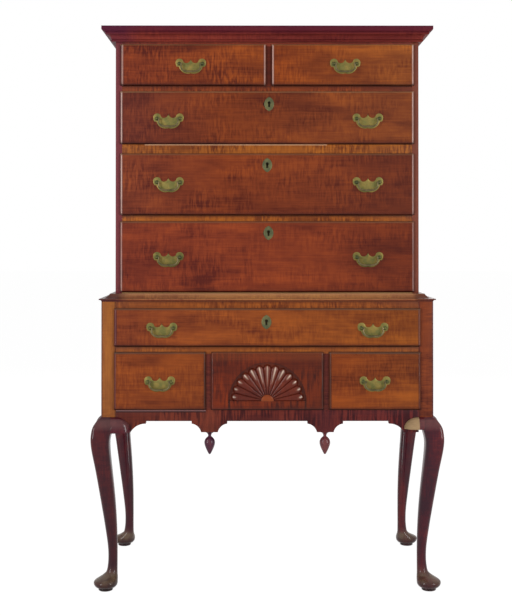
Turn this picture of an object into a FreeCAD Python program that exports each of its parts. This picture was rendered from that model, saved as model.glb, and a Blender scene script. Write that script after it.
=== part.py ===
import FreeCAD, Part
import math
import os

# A flat-top highboy: an upper chest of drawers standing on a lower case with
# cabriole legs. Millimetres. +Z is up, the drawers open towards -Y, and the
# origin is on the floor under the middle of the piece.

V = FreeCAD.Vector

# ---- Lower case and legs -----------------------------------------------------
LOWER_WIDTH = 1015.0
LOWER_DEPTH = 510.0
SHOULDER_HEIGHT = 529.0        # where the knees end and the square posts begin
POST_SIZE = 45.0
LOWER_SIDE_BOARD = 20.0
LOWER_BACK_BOARD = 16.0
LOWER_BACK_INSET = 4.0         # back board in from the rear faces of the posts

KNEE_PROJECTION = 30.5         # knee beyond the faces of the case
KNEE_INNER = 26.5              # back of the knee in from the faces of the case
SHOULDER_LEDGE = 2.5           # knee beyond the post at the shoulder
SHOULDER_INNER_LEDGE = 1.0     # back of the knee in from the inner faces of the post
ANKLE_HEIGHT = 127.0
ANKLE_SIZE = 29.6
ANKLE_INSET = 17.0             # outside of the ankle in from the faces of the case
FOOT_DIAMETER = 73.0
FOOT_PAD_DIAMETER = 44.0       # flat disc that stands on the floor
FOOT_HEIGHT = 42.0
FOOT_INSET = 12.8              # axis of the foot in from the faces of the case

APRON_DROP = 12.0              # straight edge of the apron below the shoulders
APRON_RAIL = 33.5              # height of the apron board above its straight edge
APRON_THICKNESS = 22.0
APRON_STEP = 8.0               # small square step beside each curve
PLINTH_DROP = 34.0             # pendant plinths and end brackets below the straight edge
PLINTH_WIDTH = 51.0
PLINTH_SHIFT = 3.0             # middle of a plinth in from the middle of the divider above
PLINTH_BLOCK = 20.0            # glue block behind each plinth
PLINTH_CURVE = 28.8            # length of the curve beside a plinth
BRACKET_WIDTH = 44.5           # bracket beside a leg
BRACKET_CURVE = 46.5           # length of the curve beside a bracket
KNEE_BLOCK_PROJECTION = 24.0

PENDANT_DIAMETER = 33.0
PENDANT_LENGTH = 71.0
PENDANT_COLLAR = 28.0
PENDANT_NECK = 9.6
PENDANT_TENON = 10.0
PENDANT_TENON_LENGTH = 18.0
PENDANT_TENON_SPACE = 1.0      # hole deeper than the tenon

# ---- Upper case ----------------------------------------------------------------
UPPER_SETBACK = 38.0           # front of the upper case behind the front of the lower case
UPPER_SIDE_SETBACK = 38.5      # sides of the upper case in from the sides of the lower case
UPPER_SIDE_BOARD = 20.0
UPPER_BOARD = 20.0             # top and bottom boards
UPPER_BACK_BOARD = 12.0
UPPER_BACK_REBATE = 10.0
UPPER_BACK_BOARDS = 3

CORNICE_HEIGHT = 44.5
CORNICE_PROJECTION = 39.5
WAIST_HEIGHT = 23.0
WAIST_OVERHANG = 6.5
WAIST_LEDGE = 15.0             # flat top of the waist moulding beside the upper case
MOULDING_CLEARANCE = 0.4       # waist moulding round the upper case, which lifts out

# ---- Drawer openings and the rails between them, from the apron upwards ---------
SMALL_OPENING_HEIGHT = 172.2
LOWER_RAIL = 21.3
LONG_OPENING_HEIGHT = 112.0
LOWER_TOP_RAIL = 26.0
UPPER_BOTTOM_REVEAL = 2.5      # bottom board seen above the waist moulding
FOURTH_OPENING_HEIGHT = 214.9
THIRD_RAIL = 23.7
THIRD_OPENING_HEIGHT = 185.9
SECOND_RAIL = 33.8
SECOND_OPENING_HEIGHT = 158.0
FIRST_RAIL = 23.1
TOP_OPENING_HEIGHT = 123.0
TOP_RAIL_REVEAL = 12.6         # top rail seen below the cornice
RAIL_DEPTH = 60.0
DIVIDER_WIDTH = 28.2
FAN_OPENING_WIDTH = 331.8      # opening between the two dividers of the lower case
TOP_DIVIDER_SHIFT = 5.0        # the divider of the top row stands right of the middle
RUNNER_THICKNESS = 18.0
RUNNER_WIDTH = 40.0
GUIDE_HEIGHT = 24.0

# ---- Drawers -------------------------------------------------------------------
LIP = 6.0                      # lip over the case at the top and the sides
LIP_THICKNESS = 7.5
LIP_CLEARANCE = 0.3            # back of the lip in front of the case
LIP_ROUND = 7.0
FIELD_BORDER = 9.0             # moulded border round the raised field
FIELD_STEP = 1.2
FRONT_BODY = 14.0              # drawer front behind the face of the case
SIDE_GAP = 1.5
TOP_GAP = 1.5
BOTTOM_GAP = 1.0
RUN_CLEARANCE = 0.3            # drawer sides above their runners
DRAWER_SIDE = 12.0
DRAWER_SIDE_DROP = 8.0         # top of the drawer sides below the top of the opening
DRAWER_BACK_DROP = 6.0         # top of the drawer back below the top of the sides
DRAWER_BOTTOM = 7.0
DRAWER_BOTTOM_LIFT = 6.0
DRAWER_GROOVE = 5.0
DRAWER_BACK_SPACE = 12.0       # between the drawer back and the back of the case
TAIL_LENGTH = 11.0
TAIL_PITCH = 42.0
TAIL_SLOPE = 1.0 / 6.0

FAN_RADIUS = 119.0
FAN_RECESS = 8.0
FAN_BASE = 27.0                # base line of the fan above the foot of the drawer
FAN_LOBES = 13
FAN_LOBE_REACH = 112.0
FAN_LOBE_HEIGHT = 6.5          # above the floor of the recess, at the outer end
FAN_LOBE_OVERLAP = 1.05        # width of a lobe over its share of the half circle
FAN_HUB_RADIUS = 17.0
FAN_HUB_HEIGHT = 6.0
FAN_BAND_STEP = 2.5            # flat band under the fan, behind the face

# ---- Brass ---------------------------------------------------------------------
POST_SPACING = 71.0
PULL_RISE = 5.0                # posts above the middle of the backplate
PLATE_THICKNESS = 1.6
PLATE_WING = 47.0              # half of the backplate's width
PLATE_TOP = 21.0
PLATE_FOOT = 24.0
POST_SHANK = 6.0
POST_COLLAR = 10.0
POST_COLLAR_THICKNESS = 2.4
POST_NECK = 5.6
POST_HEAD = 9.2
POST_REACH = 8.5               # axis of the bail in front of the backplate
POST_HOLE_CLEARANCE = 0.1
NUT_SIZE = 13.0
NUT_THICKNESS = 5.0
NUT_STANDOFF = 2.0             # threaded end of the post beyond its nut
BAIL_WIRE = 4.4
BAIL_PIN = 3.5
BAIL_PIN_CLEARANCE = 0.05
BAIL_PIN_SHORT = 1.0           # end of the pin in from the outside of the post's head
BAIL_ARM = 28.0                # arms of the bail from its middle, at the posts
BAIL_DROP = 24.5
BAIL_SWING = 100.0             # degrees

ESCUTCHEON_WIDTH = 30.0
ESCUTCHEON_HEIGHT = 44.0
LOCK_WIDTH = 56.0
LOCK_HEIGHT = 50.0
LOCK_THICKNESS = 9.0
KEYHOLE_RADIUS = 3.4
KEYHOLE_SLOT = 4.0
KEYHOLE_DROP = 11.0
KEYHOLE_IN_LOCK = 2.0
BOLT_WIDTH = 22.0
BOLT_THICKNESS = 4.0
BOLT_LENGTH = 20.0
BOLT_TOP_GAP = 1.0
BOLT_CLEARANCE = 0.4
BOLT_THROW = 7.0
BOLT_MORTISE_MARGIN = 1.5

# ---- Levels and faces worked out from the sizes above ---------------------------
LOWER_SIDE = LOWER_WIDTH / 2
LOWER_FRONT = -LOWER_DEPTH / 2
LOWER_BACK = LOWER_DEPTH / 2
UPPER_SIDE = LOWER_SIDE - UPPER_SIDE_SETBACK
UPPER_FRONT = LOWER_FRONT + UPPER_SETBACK
UPPER_BACK = LOWER_BACK
POST_INNER = LOWER_SIDE - POST_SIZE
UPPER_INNER = UPPER_SIDE - UPPER_SIDE_BOARD
LOWER_DIVIDER_CENTRE = (FAN_OPENING_WIDTH + DIVIDER_WIDTH) / 2
PLINTH_CENTRE = LOWER_DIVIDER_CENTRE - PLINTH_SHIFT

APRON_EDGE = SHOULDER_HEIGHT - APRON_DROP
APRON_FOOT = APRON_EDGE - PLINTH_DROP
SMALL_OPENING_BOTTOM = APRON_EDGE + APRON_RAIL
SMALL_OPENING_TOP = SMALL_OPENING_BOTTOM + SMALL_OPENING_HEIGHT
LONG_OPENING_BOTTOM = SMALL_OPENING_TOP + LOWER_RAIL
LONG_OPENING_TOP = LONG_OPENING_BOTTOM + LONG_OPENING_HEIGHT
LOWER_TOP = LONG_OPENING_TOP + LOWER_TOP_RAIL
WAIST_TOP = LOWER_TOP + WAIST_HEIGHT
FOURTH_OPENING_BOTTOM = WAIST_TOP + UPPER_BOTTOM_REVEAL
FOURTH_OPENING_TOP = FOURTH_OPENING_BOTTOM + FOURTH_OPENING_HEIGHT
THIRD_OPENING_BOTTOM = FOURTH_OPENING_TOP + THIRD_RAIL
THIRD_OPENING_TOP = THIRD_OPENING_BOTTOM + THIRD_OPENING_HEIGHT
SECOND_OPENING_BOTTOM = THIRD_OPENING_TOP + SECOND_RAIL
SECOND_OPENING_TOP = SECOND_OPENING_BOTTOM + SECOND_OPENING_HEIGHT
TOP_OPENING_BOTTOM = SECOND_OPENING_TOP + FIRST_RAIL
TOP_OPENING_TOP = TOP_OPENING_BOTTOM + TOP_OPENING_HEIGHT
CORNICE_BOTTOM = TOP_OPENING_TOP + TOP_RAIL_REVEAL
CASE_TOP = CORNICE_BOTTOM + CORNICE_HEIGHT
UPPER_BOTTOM = FOURTH_OPENING_BOTTOM - UPPER_BOARD

UPPER_BACK_INNER = UPPER_BACK - UPPER_BACK_BOARD
LOWER_BACK_INNER = LOWER_BACK - LOWER_BACK_INSET - LOWER_BACK_BOARD


# ---- Small helpers ---------------------------------------------------------------
def box(x0, x1, y0, y1, z0, z1):
    """A board between two corners."""
    return Part.makeBox(x1 - x0, y1 - y0, z1 - z0, V(x0, y0, z0))


def mirror_x(shape):
    return shape.mirror(V(0, 0, 0), V(1, 0, 0))


def mirror_y(shape):
    return shape.mirror(V(0, 0, 0), V(0, 1, 0))


def path_edges(path):
    """Edges through a closed path. An entry is a point, or a pair for an arc: through this, to that."""
    edges = []
    here = path[0]
    for entry in path[1:]:
        if isinstance(entry, tuple):
            edges.append(Part.Arc(here, entry[0], entry[1]).toShape())
            here = entry[1]
        else:
            edges.append(Part.LineSegment(here, entry).toShape())
            here = entry
    if not here.isEqual(path[0], 1e-7):
        edges.append(Part.LineSegment(here, path[0]).toShape())
    return edges


def backwards(path):
    """The same open path, from its far end."""
    stops = [entry[1] if isinstance(entry, tuple) else entry for entry in path]
    turned_path = [stops[-1]]
    for index in range(len(path) - 1, 0, -1):
        stop = stops[index - 1]
        turned_path.append((path[index][0], stop) if isinstance(path[index], tuple) else stop)
    return turned_path


def pushed(path, depth):
    """A solid made by pushing a closed path along a vector."""
    return Part.Face(Part.Wire(path_edges(path))).extrude(depth)


def turned(path, axis_point, axis):
    """A solid turned on a lathe."""
    return Part.Face(Part.Wire(path_edges(path))).revolve(axis_point, axis, 360)


def one_solid(shape):
    """The single solid of a fused or cut shape."""
    return shape.removeSplitter().Solids[0]


# ---- Legs -------------------------------------------------------------------------
# Each row: share of the rise from ankle to shoulder, then how far the outside
# and the inside have swung from ankle to knee, then the share of the half
# width that is rounded off at the corners.
LEG_CURVE = (
    (0.975, 0.62, 0.15, 0.22),
    (0.93, 0.87, 0.45, 0.26),
    (0.88, 0.97, 0.75, 0.30),
    (0.82, 1.00, 0.96, 0.36),
    (0.74, 0.93, 0.92, 0.42),
    (0.61, 0.74, 0.69, 0.52),
    (0.47, 0.56, 0.43, 0.64),
    (0.32, 0.37, 0.20, 0.76),
    (0.16, 0.17, 0.05, 0.86),
    (0.00, 0.00, 0.00, 0.92),
)

# Each row: share of the ankle's height, then how far the outside has flared
# from the ankle towards the toe.
ANKLE_CURVE = (
    (0.70, -0.03),
    (0.50, 0.03),
    (0.37, 0.18),
    (0.24, 0.40),
)


def leg_section(z, outer, inner, roundness):
    """A square with rounded corners, set by its distances from the middle of the case."""
    half = (outer - inner) / 2
    centre_x = LOWER_SIDE - LOWER_BACK + (outer + inner) / 2
    centre_y = (outer + inner) / 2
    radius = half * roundness
    flat = half - radius
    edges = []
    for turn in range(4):
        angle = math.pi / 2 * turn
        along = V(math.cos(angle), math.sin(angle), 0)
        across = V(-math.sin(angle), math.cos(angle), 0)
        middle = V(centre_x, centre_y, z)
        side_start = middle + along * half - across * flat
        side_end = middle + along * half + across * flat
        corner = middle + (along + across) * (flat + radius / math.sqrt(2))
        corner_end = middle + across * half + along * flat
        edges.append(Part.LineSegment(side_start, side_end).toShape())
        edges.append(Part.Arc(side_end, corner, corner_end).toShape())
    return Part.Wire(edges)


def corner_leg():
    """The rear right leg with its post, in one piece of wood."""
    face = LOWER_BACK
    ankle_outer = face - ANKLE_INSET
    ankle_inner = ankle_outer - ANKLE_SIZE
    knee_outer = face + KNEE_PROJECTION
    knee_inner = face - KNEE_INNER
    rise = SHOULDER_HEIGHT - ANKLE_HEIGHT
    top_inner = face - POST_SIZE + SHOULDER_INNER_LEDGE
    wires = [leg_section(SHOULDER_HEIGHT, face + SHOULDER_LEDGE, top_inner, 0.16)]
    for share, outward, inward, roundness in LEG_CURVE:
        outer = ankle_outer + (knee_outer - ankle_outer) * outward
        inner = ankle_inner + (knee_inner - ankle_inner) * inward
        wires.append(leg_section(ANKLE_HEIGHT + rise * share, outer, inner, roundness))
    foot_axis = face - FOOT_INSET
    toe = foot_axis + FOOT_DIAMETER / 2
    for share, flare in ANKLE_CURVE:
        outer = ankle_outer + (toe - ankle_outer) * flare
        inner = ankle_inner
        if share == ANKLE_CURVE[-1][0]:
            outer = ankle_outer + (toe - ankle_outer) * ANKLE_CURVE[-2][1]
            inner = ankle_inner + ANKLE_SIZE / 4
        wires.append(leg_section(ANKLE_HEIGHT * share, outer, inner, 0.92))
    shaft = Part.makeLoft(wires, True, False)
    centre = V(LOWER_SIDE - FOOT_INSET, foot_axis, 0)
    return one_solid(shaft.fuse([foot(centre), post()]))


def post():
    inner_y = LOWER_BACK - POST_SIZE
    return box(POST_INNER, LOWER_SIDE, inner_y, LOWER_BACK, APRON_EDGE, LOWER_TOP)


def foot(centre):
    """A round pad foot on a smaller flat disc."""
    pad = FOOT_PAD_DIAMETER / 2
    wide = FOOT_DIAMETER / 2
    waist = FOOT_HEIGHT * 0.54

    def at(radius, height):
        return centre + V(radius, 0, height)

    swell = (at(pad + (wide - pad) * 0.72, waist * 0.45), at(wide, waist))
    dome = (at(wide * 0.80, FOOT_HEIGHT * 0.76), at(wide * 0.28, FOOT_HEIGHT * 0.975))
    return turned([at(0, 0), at(pad, 0), swell, dome, at(0, FOOT_HEIGHT)], centre, V(0, 0, 1))


# ---- Scalloped edges of the apron and the side boards --------------------------------
def bracket(end, sign, place):
    """Path from the end of a board to its straight edge: bracket, curve and square step."""
    foot_end = end - sign * BRACKET_WIDTH
    curve_end = foot_end - sign * BRACKET_CURVE
    step = APRON_EDGE - APRON_STEP
    crown = place(foot_end - sign * BRACKET_CURVE * 0.38, APRON_FOOT + (step - APRON_FOOT) * 0.70)
    return [
        place(end, APRON_FOOT),
        place(foot_end, APRON_FOOT),
        (crown, place(curve_end, step)),
        place(curve_end, APRON_EDGE),
    ]


def plinth(sign, place):
    """Path round one pendant's plinth, from its outer side towards the middle."""
    half = PLINTH_WIDTH / 2
    step = APRON_EDGE - APRON_STEP
    rise = APRON_FOOT + (step - APRON_FOOT) * 0.70

    def at(outward, height):
        return place(sign * (PLINTH_CENTRE + outward), height)

    return [
        at(half + PLINTH_CURVE, APRON_EDGE),
        at(half + PLINTH_CURVE, step),
        (at(half + PLINTH_CURVE * 0.38, rise), at(half, APRON_FOOT)),
        at(-half, APRON_FOOT),
        (at(-half - PLINTH_CURVE * 0.38, rise), at(-half - PLINTH_CURVE, step)),
        at(-half - PLINTH_CURVE, APRON_EDGE),
    ]


def pendant_centre(side):
    return V(side * PLINTH_CENTRE, LOWER_FRONT + (APRON_THICKNESS + PLINTH_BLOCK) / 2, APRON_FOOT)


def front_apron():
    """The apron board and a glue block behind each plinth."""
    def place(x, z):
        return V(x, LOWER_FRONT, z)

    right = bracket(POST_INNER, 1, place) + plinth(1, place)
    left = bracket(-POST_INNER, -1, place) + plinth(-1, place)
    ends = [place(-POST_INNER, SMALL_OPENING_BOTTOM), place(POST_INNER, SMALL_OPENING_BOTTOM)]
    shapes = [pushed(right + backwards(left) + ends, V(0, APRON_THICKNESS, 0))]
    back = LOWER_FRONT + APRON_THICKNESS
    for side in (-1, 1):
        left_end = side * PLINTH_CENTRE - PLINTH_WIDTH / 2
        right_end = side * PLINTH_CENTRE + PLINTH_WIDTH / 2
        shapes.append(box(left_end, right_end, back, back + PLINTH_BLOCK, APRON_FOOT, SMALL_OPENING_BOTTOM))
    holes = [tenon_hole(-1), tenon_hole(1)]
    return [shape.cut(holes).Solids[0] for shape in shapes]


def tenon_hole(side):
    radius = PENDANT_TENON / 2 + POST_HOLE_CLEARANCE
    return Part.makeCylinder(radius, PENDANT_TENON_LENGTH + PENDANT_TENON_SPACE, pendant_centre(side))


def drop_pendants():
    """Two turned acorn drops, each with a tenon up into its plinth."""
    collar = PENDANT_COLLAR / 2
    neck = PENDANT_NECK / 2
    wide = PENDANT_DIAMETER / 2
    tenon = PENDANT_TENON / 2
    drops = []
    for side in (-1, 1):
        centre = pendant_centre(side)

        def at(radius, down):
            return centre + V(radius, 0, -PENDANT_LENGTH * down)

        path = [
            centre + V(0, 0, PENDANT_TENON_LENGTH),
            centre + V(tenon, 0, PENDANT_TENON_LENGTH),
            at(tenon, 0),
            at(collar, 0),
            at(collar, 0.04),
            (at(collar * 0.62, 0.085), at(neck, 0.18)),
            at(neck, 0.23),
            (at(wide * 0.62, 0.33), at(wide, 0.45)),
            (at(wide * 0.93, 0.60), at(wide * 0.58, 0.80)),
            (at(wide * 0.40, 0.93), at(wide * 0.10, 1.0)),
            at(0, 1.0),
        ]
        drops.append(turned(path, centre, V(0, 0, 1)))
    return drops


def knee_block():
    """The bracket that carries the front of the right knee on along the apron."""
    inner = POST_INNER - BRACKET_WIDTH
    outer = LOWER_SIDE - KNEE_INNER
    front = LOWER_FRONT - KNEE_BLOCK_PROJECTION
    rise = SHOULDER_HEIGHT - APRON_FOOT

    def at(x, projection, share):
        return V(x, LOWER_FRONT - projection, APRON_FOOT + rise * share)

    low_inner = V(inner, front, APRON_FOOT)
    low_outer = V(outer, front, APRON_FOOT)
    shoulder = V(POST_INNER, front, SHOULDER_HEIGHT)
    crown = V(inner + BRACKET_WIDTH * 0.27, front, APRON_FOOT + rise * 0.74)
    seen_from_front = pushed(
        [low_inner, low_outer, V(outer, front, SHOULDER_HEIGHT), shoulder, (crown, low_inner)],
        V(0, KNEE_BLOCK_PROJECTION, 0),
    )
    knee_front = V(POST_INNER, front, APRON_FOOT)
    swell = at(inner + BRACKET_WIDTH * 0.55, KNEE_BLOCK_PROJECTION * 0.72, 0)
    seen_from_above = pushed(
        [at(inner, 0, 0), at(outer, 0, 0), low_outer, knee_front, (swell, at(inner, 0, 0))],
        V(0, 0, rise),
    )
    bulge = at(inner, KNEE_BLOCK_PROJECTION * 0.80, 0.5)
    seen_from_side = pushed(
        [at(inner, 0, 0), low_inner, (bulge, at(inner, SHOULDER_LEDGE / 2, 1)), at(inner, 0, 1)],
        V(outer - inner, 0, 0),
    )
    return seen_from_front.common(seen_from_above).common(seen_from_side).Solids[0]


def side_knee_block(block):
    """The same bracket turned on to the side of the case, beside the front right leg."""
    return block.mirror(V(LOWER_SIDE, LOWER_FRONT, 0), V(1, 1, 0))


def knee_blocks(leg):
    """Two blocks on each front leg and one on each rear leg, fitted to the knees."""
    front = knee_block()
    side = side_knee_block(front)
    front_leg = mirror_y(leg)
    front = front.cut(front_leg).Solids[0]
    side = side.cut(front_leg).Solids[0]
    right = [front, side, mirror_y(side)]
    return right + [mirror_x(shape) for shape in right]


# ---- Lower case --------------------------------------------------------------------
def lower_side_panels():
    """A board on each side, with a bracket beside each leg."""
    def place(y, z):
        return V(LOWER_SIDE - LOWER_SIDE_BOARD, y, z)

    end = LOWER_BACK - POST_SIZE
    path = bracket(end, 1, place) + backwards(bracket(-end, -1, place))
    path += [place(-end, LOWER_TOP), place(end, LOWER_TOP)]
    board = pushed(path, V(LOWER_SIDE_BOARD, 0, 0))
    return [board, mirror_x(board)]


def lower_back_board():
    rear = LOWER_BACK - LOWER_BACK_INSET
    return [box(-POST_INNER, POST_INNER, LOWER_BACK_INNER, rear, APRON_EDGE, LOWER_TOP)]


def lower_drawer_blades():
    """Top rail, middle rail and the two dividers between the small drawers."""
    rear = LOWER_FRONT + RAIL_DEPTH
    top = box(-POST_INNER, POST_INNER, LOWER_FRONT, rear, LONG_OPENING_TOP, LOWER_TOP)
    top = top.cut(bolt_mortise(DRAWERS["lower_long"]))
    middle = box(-POST_INNER, POST_INNER, LOWER_FRONT, rear, SMALL_OPENING_TOP, LONG_OPENING_BOTTOM)
    shapes = [top, middle]
    for side in (-1, 1):
        left = side * LOWER_DIVIDER_CENTRE - DIVIDER_WIDTH / 2
        right = side * LOWER_DIVIDER_CENTRE + DIVIDER_WIDTH / 2
        shapes.append(box(left, right, LOWER_FRONT, rear, SMALL_OPENING_BOTTOM, SMALL_OPENING_TOP))
    return shapes


# ---- Upper case --------------------------------------------------------------------
def upper_side():
    board = box(UPPER_INNER, UPPER_SIDE, UPPER_FRONT, UPPER_BACK, LOWER_TOP, CASE_TOP)
    rebate_end = UPPER_INNER + UPPER_BACK_REBATE
    return board.cut(box(UPPER_INNER, rebate_end, UPPER_BACK_INNER, UPPER_BACK, LOWER_TOP, CASE_TOP))


def upper_boards():
    """Top and bottom boards of the upper case."""
    shapes = []
    for low in (UPPER_BOTTOM, CASE_TOP - UPPER_BOARD):
        high = low + UPPER_BOARD
        shapes.append(box(-UPPER_INNER, UPPER_INNER, UPPER_FRONT, UPPER_BACK_INNER, low, high))
    return shapes


def upper_back_boards():
    half = UPPER_INNER + UPPER_BACK_REBATE
    height = (CASE_TOP - LOWER_TOP) / UPPER_BACK_BOARDS
    boards = []
    for index in range(UPPER_BACK_BOARDS):
        low = LOWER_TOP + index * height
        boards.append(box(-half, half, UPPER_BACK_INNER, UPPER_BACK, low, low + height))
    return boards


def upper_drawer_blades():
    """Three rails, the top rail and the divider of the top row."""
    rear = UPPER_FRONT + RAIL_DEPTH
    levels = (
        (FOURTH_OPENING_TOP, THIRD_OPENING_BOTTOM, "fourth"),
        (THIRD_OPENING_TOP, SECOND_OPENING_BOTTOM, "third"),
        (SECOND_OPENING_TOP, TOP_OPENING_BOTTOM, "second"),
    )
    shapes = []
    for low, high, below in levels:
        rail = box(-UPPER_INNER, UPPER_INNER, UPPER_FRONT, rear, low, high)
        shapes.append(rail.cut(bolt_mortise(DRAWERS[below])))
    shapes.append(
        box(-UPPER_INNER, UPPER_INNER, UPPER_FRONT, rear, TOP_OPENING_TOP, CASE_TOP - UPPER_BOARD)
    )
    left = TOP_DIVIDER_SHIFT - DIVIDER_WIDTH / 2
    right = TOP_DIVIDER_SHIFT + DIVIDER_WIDTH / 2
    shapes.append(box(left, right, UPPER_FRONT, rear, TOP_OPENING_BOTTOM, TOP_OPENING_TOP))
    return shapes


def drawer_runners():
    """Runners behind the rails, guides beside the drawers and the top frame's bearers."""
    upper_start = UPPER_FRONT + RAIL_DEPTH
    lower_start = LOWER_FRONT + RAIL_DEPTH
    lower_inner = LOWER_SIDE - LOWER_SIDE_BOARD
    lower_end = LOWER_BACK - POST_SIZE
    shapes = []

    def runner(x0, x1, y0, y1, top):
        shapes.append(box(x0, x1, y0, y1, top - RUNNER_THICKNESS, top))

    def guide(x0, x1, y0, y1, bottom):
        shapes.append(box(x0, x1, y0, y1, bottom, bottom + GUIDE_HEIGHT))

    for top in (THIRD_OPENING_BOTTOM, SECOND_OPENING_BOTTOM, TOP_OPENING_BOTTOM):
        runner(UPPER_INNER - RUNNER_WIDTH, UPPER_INNER, upper_start, UPPER_BACK_INNER, top)
        runner(-UPPER_INNER, RUNNER_WIDTH - UPPER_INNER, upper_start, UPPER_BACK_INNER, top)
    half = DIVIDER_WIDTH / 2
    middle = TOP_DIVIDER_SHIFT
    reach = half + RUNNER_WIDTH
    runner(middle - reach, middle + reach, upper_start, UPPER_BACK_INNER, TOP_OPENING_BOTTOM)
    guide(middle - half, middle + half, upper_start, UPPER_BACK_INNER, TOP_OPENING_BOTTOM)

    for top in (SMALL_OPENING_BOTTOM, LONG_OPENING_BOTTOM, LOWER_TOP):
        runner(POST_INNER - RUNNER_WIDTH, lower_inner, lower_start, lower_end, top)
        runner(-lower_inner, RUNNER_WIDTH - POST_INNER, lower_start, lower_end, top)
    for bottom in (SMALL_OPENING_BOTTOM, LONG_OPENING_BOTTOM):
        guide(POST_INNER, lower_inner, lower_start, lower_end, bottom)
        guide(-lower_inner, -POST_INNER, lower_start, lower_end, bottom)
    plinth_back = LOWER_FRONT + APRON_THICKNESS + PLINTH_BLOCK
    for side in (-1, 1):
        middle = side * LOWER_DIVIDER_CENTRE
        runner(middle - reach, middle + reach, plinth_back, LOWER_BACK_INNER, SMALL_OPENING_BOTTOM)
        guide(middle - half, middle + half, lower_start, LOWER_BACK_INNER, SMALL_OPENING_BOTTOM)
    runner(-POST_INNER, POST_INNER, lower_end, LOWER_BACK_INNER, LOWER_TOP)
    return shapes


# ---- Mouldings ---------------------------------------------------------------------
def moulding(profile, side, front, rear, level):
    """Front and side lengths of a moulding round a case, mitred at the corners.

    The profile is a path of (out, up) pairs from the case; the arcs are pairs of those.
    """
    far = 4 * side
    front_run = pushed(
        placed(profile, lambda out, up: V(-far, front - out, level + up)), V(2 * far, 0, 0)
    )
    side_run = pushed(
        placed(profile, lambda out, up: V(side + out, -far, level + up)), V(0, 2 * far, 0)
    )
    corner = V(side, front, 0)
    left_corner = V(-side, front, 0)
    outside = V(far, -far, 0)
    left_outside = V(-far, -far, 0)
    height = V(0, 0, CASE_TOP)
    front_room = pushed([left_corner, left_corner + left_outside, corner + outside, corner], height)
    side_room = pushed([corner, corner + outside, V(side + far, rear, 0), V(side, rear, 0)], height)
    side_piece = side_run.common(side_room).Solids[0]
    return [front_run.common(front_room).Solids[0], side_piece, mirror_x(side_piece)]


def placed(profile, place):
    """A path of (out, up) entries, put in its place."""
    path = []
    for entry in profile:
        if isinstance(entry[0], tuple):
            path.append((place(*entry[0]), place(*entry[1])))
        else:
            path.append(place(*entry))
    return path


def cornice_moulding():
    """Bead, cove, fillet and ovolo under a square top edge."""
    p = CORNICE_PROJECTION
    h = CORNICE_HEIGHT
    profile = [
        (0, 0),
        (p * 0.24, 0),
        ((p * 0.31, h * 0.07), (p * 0.24, h * 0.14)),
        (p * 0.31, h * 0.17),
        ((p * 0.43, h * 0.38), (p * 0.73, h * 0.46)),
        (p * 0.73, h * 0.63),
        ((p * 0.91, h * 0.67), (p, h * 0.77)),
        (p, h),
        (0, h),
    ]
    return moulding(profile, UPPER_SIDE, UPPER_FRONT, UPPER_BACK, CORNICE_BOTTOM)


def waist_moulding():
    """A flat ledge, a hollow slope and a thin rounded edge over a small cove."""
    h = WAIST_HEIGHT
    case = LOWER_SIDE - UPPER_SIDE - MOULDING_CLEARANCE
    edge = case + WAIST_OVERHANG
    slope = WAIST_LEDGE + (case - WAIST_LEDGE) * 0.64
    profile = [
        (0, 0),
        (case, 0),
        ((case + WAIST_OVERHANG * 0.25, h * 0.16), (edge, h * 0.21)),
        ((edge + WAIST_OVERHANG * 0.12, h * 0.29), (edge, h * 0.37)),
        (slope, h * 0.41),
        ((WAIST_LEDGE + (slope - WAIST_LEDGE) * 0.42, h * 0.66), (WAIST_LEDGE, h)),
        (0, h),
    ]
    side = UPPER_SIDE + MOULDING_CLEARANCE
    front = UPPER_FRONT - MOULDING_CLEARANCE
    return moulding(profile, side, front, LOWER_BACK, LOWER_TOP)


# ---- Drawers -----------------------------------------------------------------------
class Drawer:
    """One drawer: its opening, and where its pulls and its keyhole are."""

    def __init__(self, name, left, right, bottom, top, face, back, pulls, pull_drop, key, key_drop=None):
        self.name = name
        self.left = left
        self.right = right
        self.bottom = bottom
        self.top = top
        self.face = face
        self.back = back - DRAWER_BACK_SPACE
        self.pulls = pulls
        self.pull_height = (bottom + top) / 2 - pull_drop
        self.key = key
        self.key_drop = key_drop

    @property
    def field(self):
        """Y of the raised field, where the brass plates lie."""
        return self.face - LIP_CLEARANCE - LIP_THICKNESS - FIELD_STEP

    @property
    def inside(self):
        """Y of the inner face of the drawer front."""
        return self.face + FRONT_BODY

    @property
    def body_top(self):
        return self.top - TOP_GAP

    @property
    def side_bottom(self):
        return self.bottom + RUN_CLEARANCE

    @property
    def side_top(self):
        return self.top - DRAWER_SIDE_DROP

    @property
    def bottom_top(self):
        """Top of the drawer's bottom board."""
        return self.side_bottom + DRAWER_BOTTOM_LIFT + DRAWER_BOTTOM

    @property
    def bolt_y(self):
        return self.inside - LOCK_THICKNESS / 2

    @property
    def key_height(self):
        return self.top + LIP - self.key_drop


# Places of the pulls in from the ends of the long openings, and how far the
# row of pulls is below the middle of the opening.
UPPER_PULL_INSET = 141.0
UPPER_PULL_SHIFT = 3.0
TOP_PULL_OUTWARD = 7.0
LONG_PULL_INSET = 140.5
TOP_PULL_DROP = -1.0
SECOND_PULL_DROP = 5.0
THIRD_PULL_DROP = -4.0
LOW_PULL_DROP = 3.0

# Places of the keyholes right of the middle, and below the top of the lip.
SECOND_KEY_SHIFT = 6.0
FOURTH_KEY_SHIFT = 4.0
LONG_KEY_SHIFT = -3.0
SECOND_KEY_DROP = 36.0
UPPER_KEY_DROP = 33.0
LONG_KEY_DROP = 38.5


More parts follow.
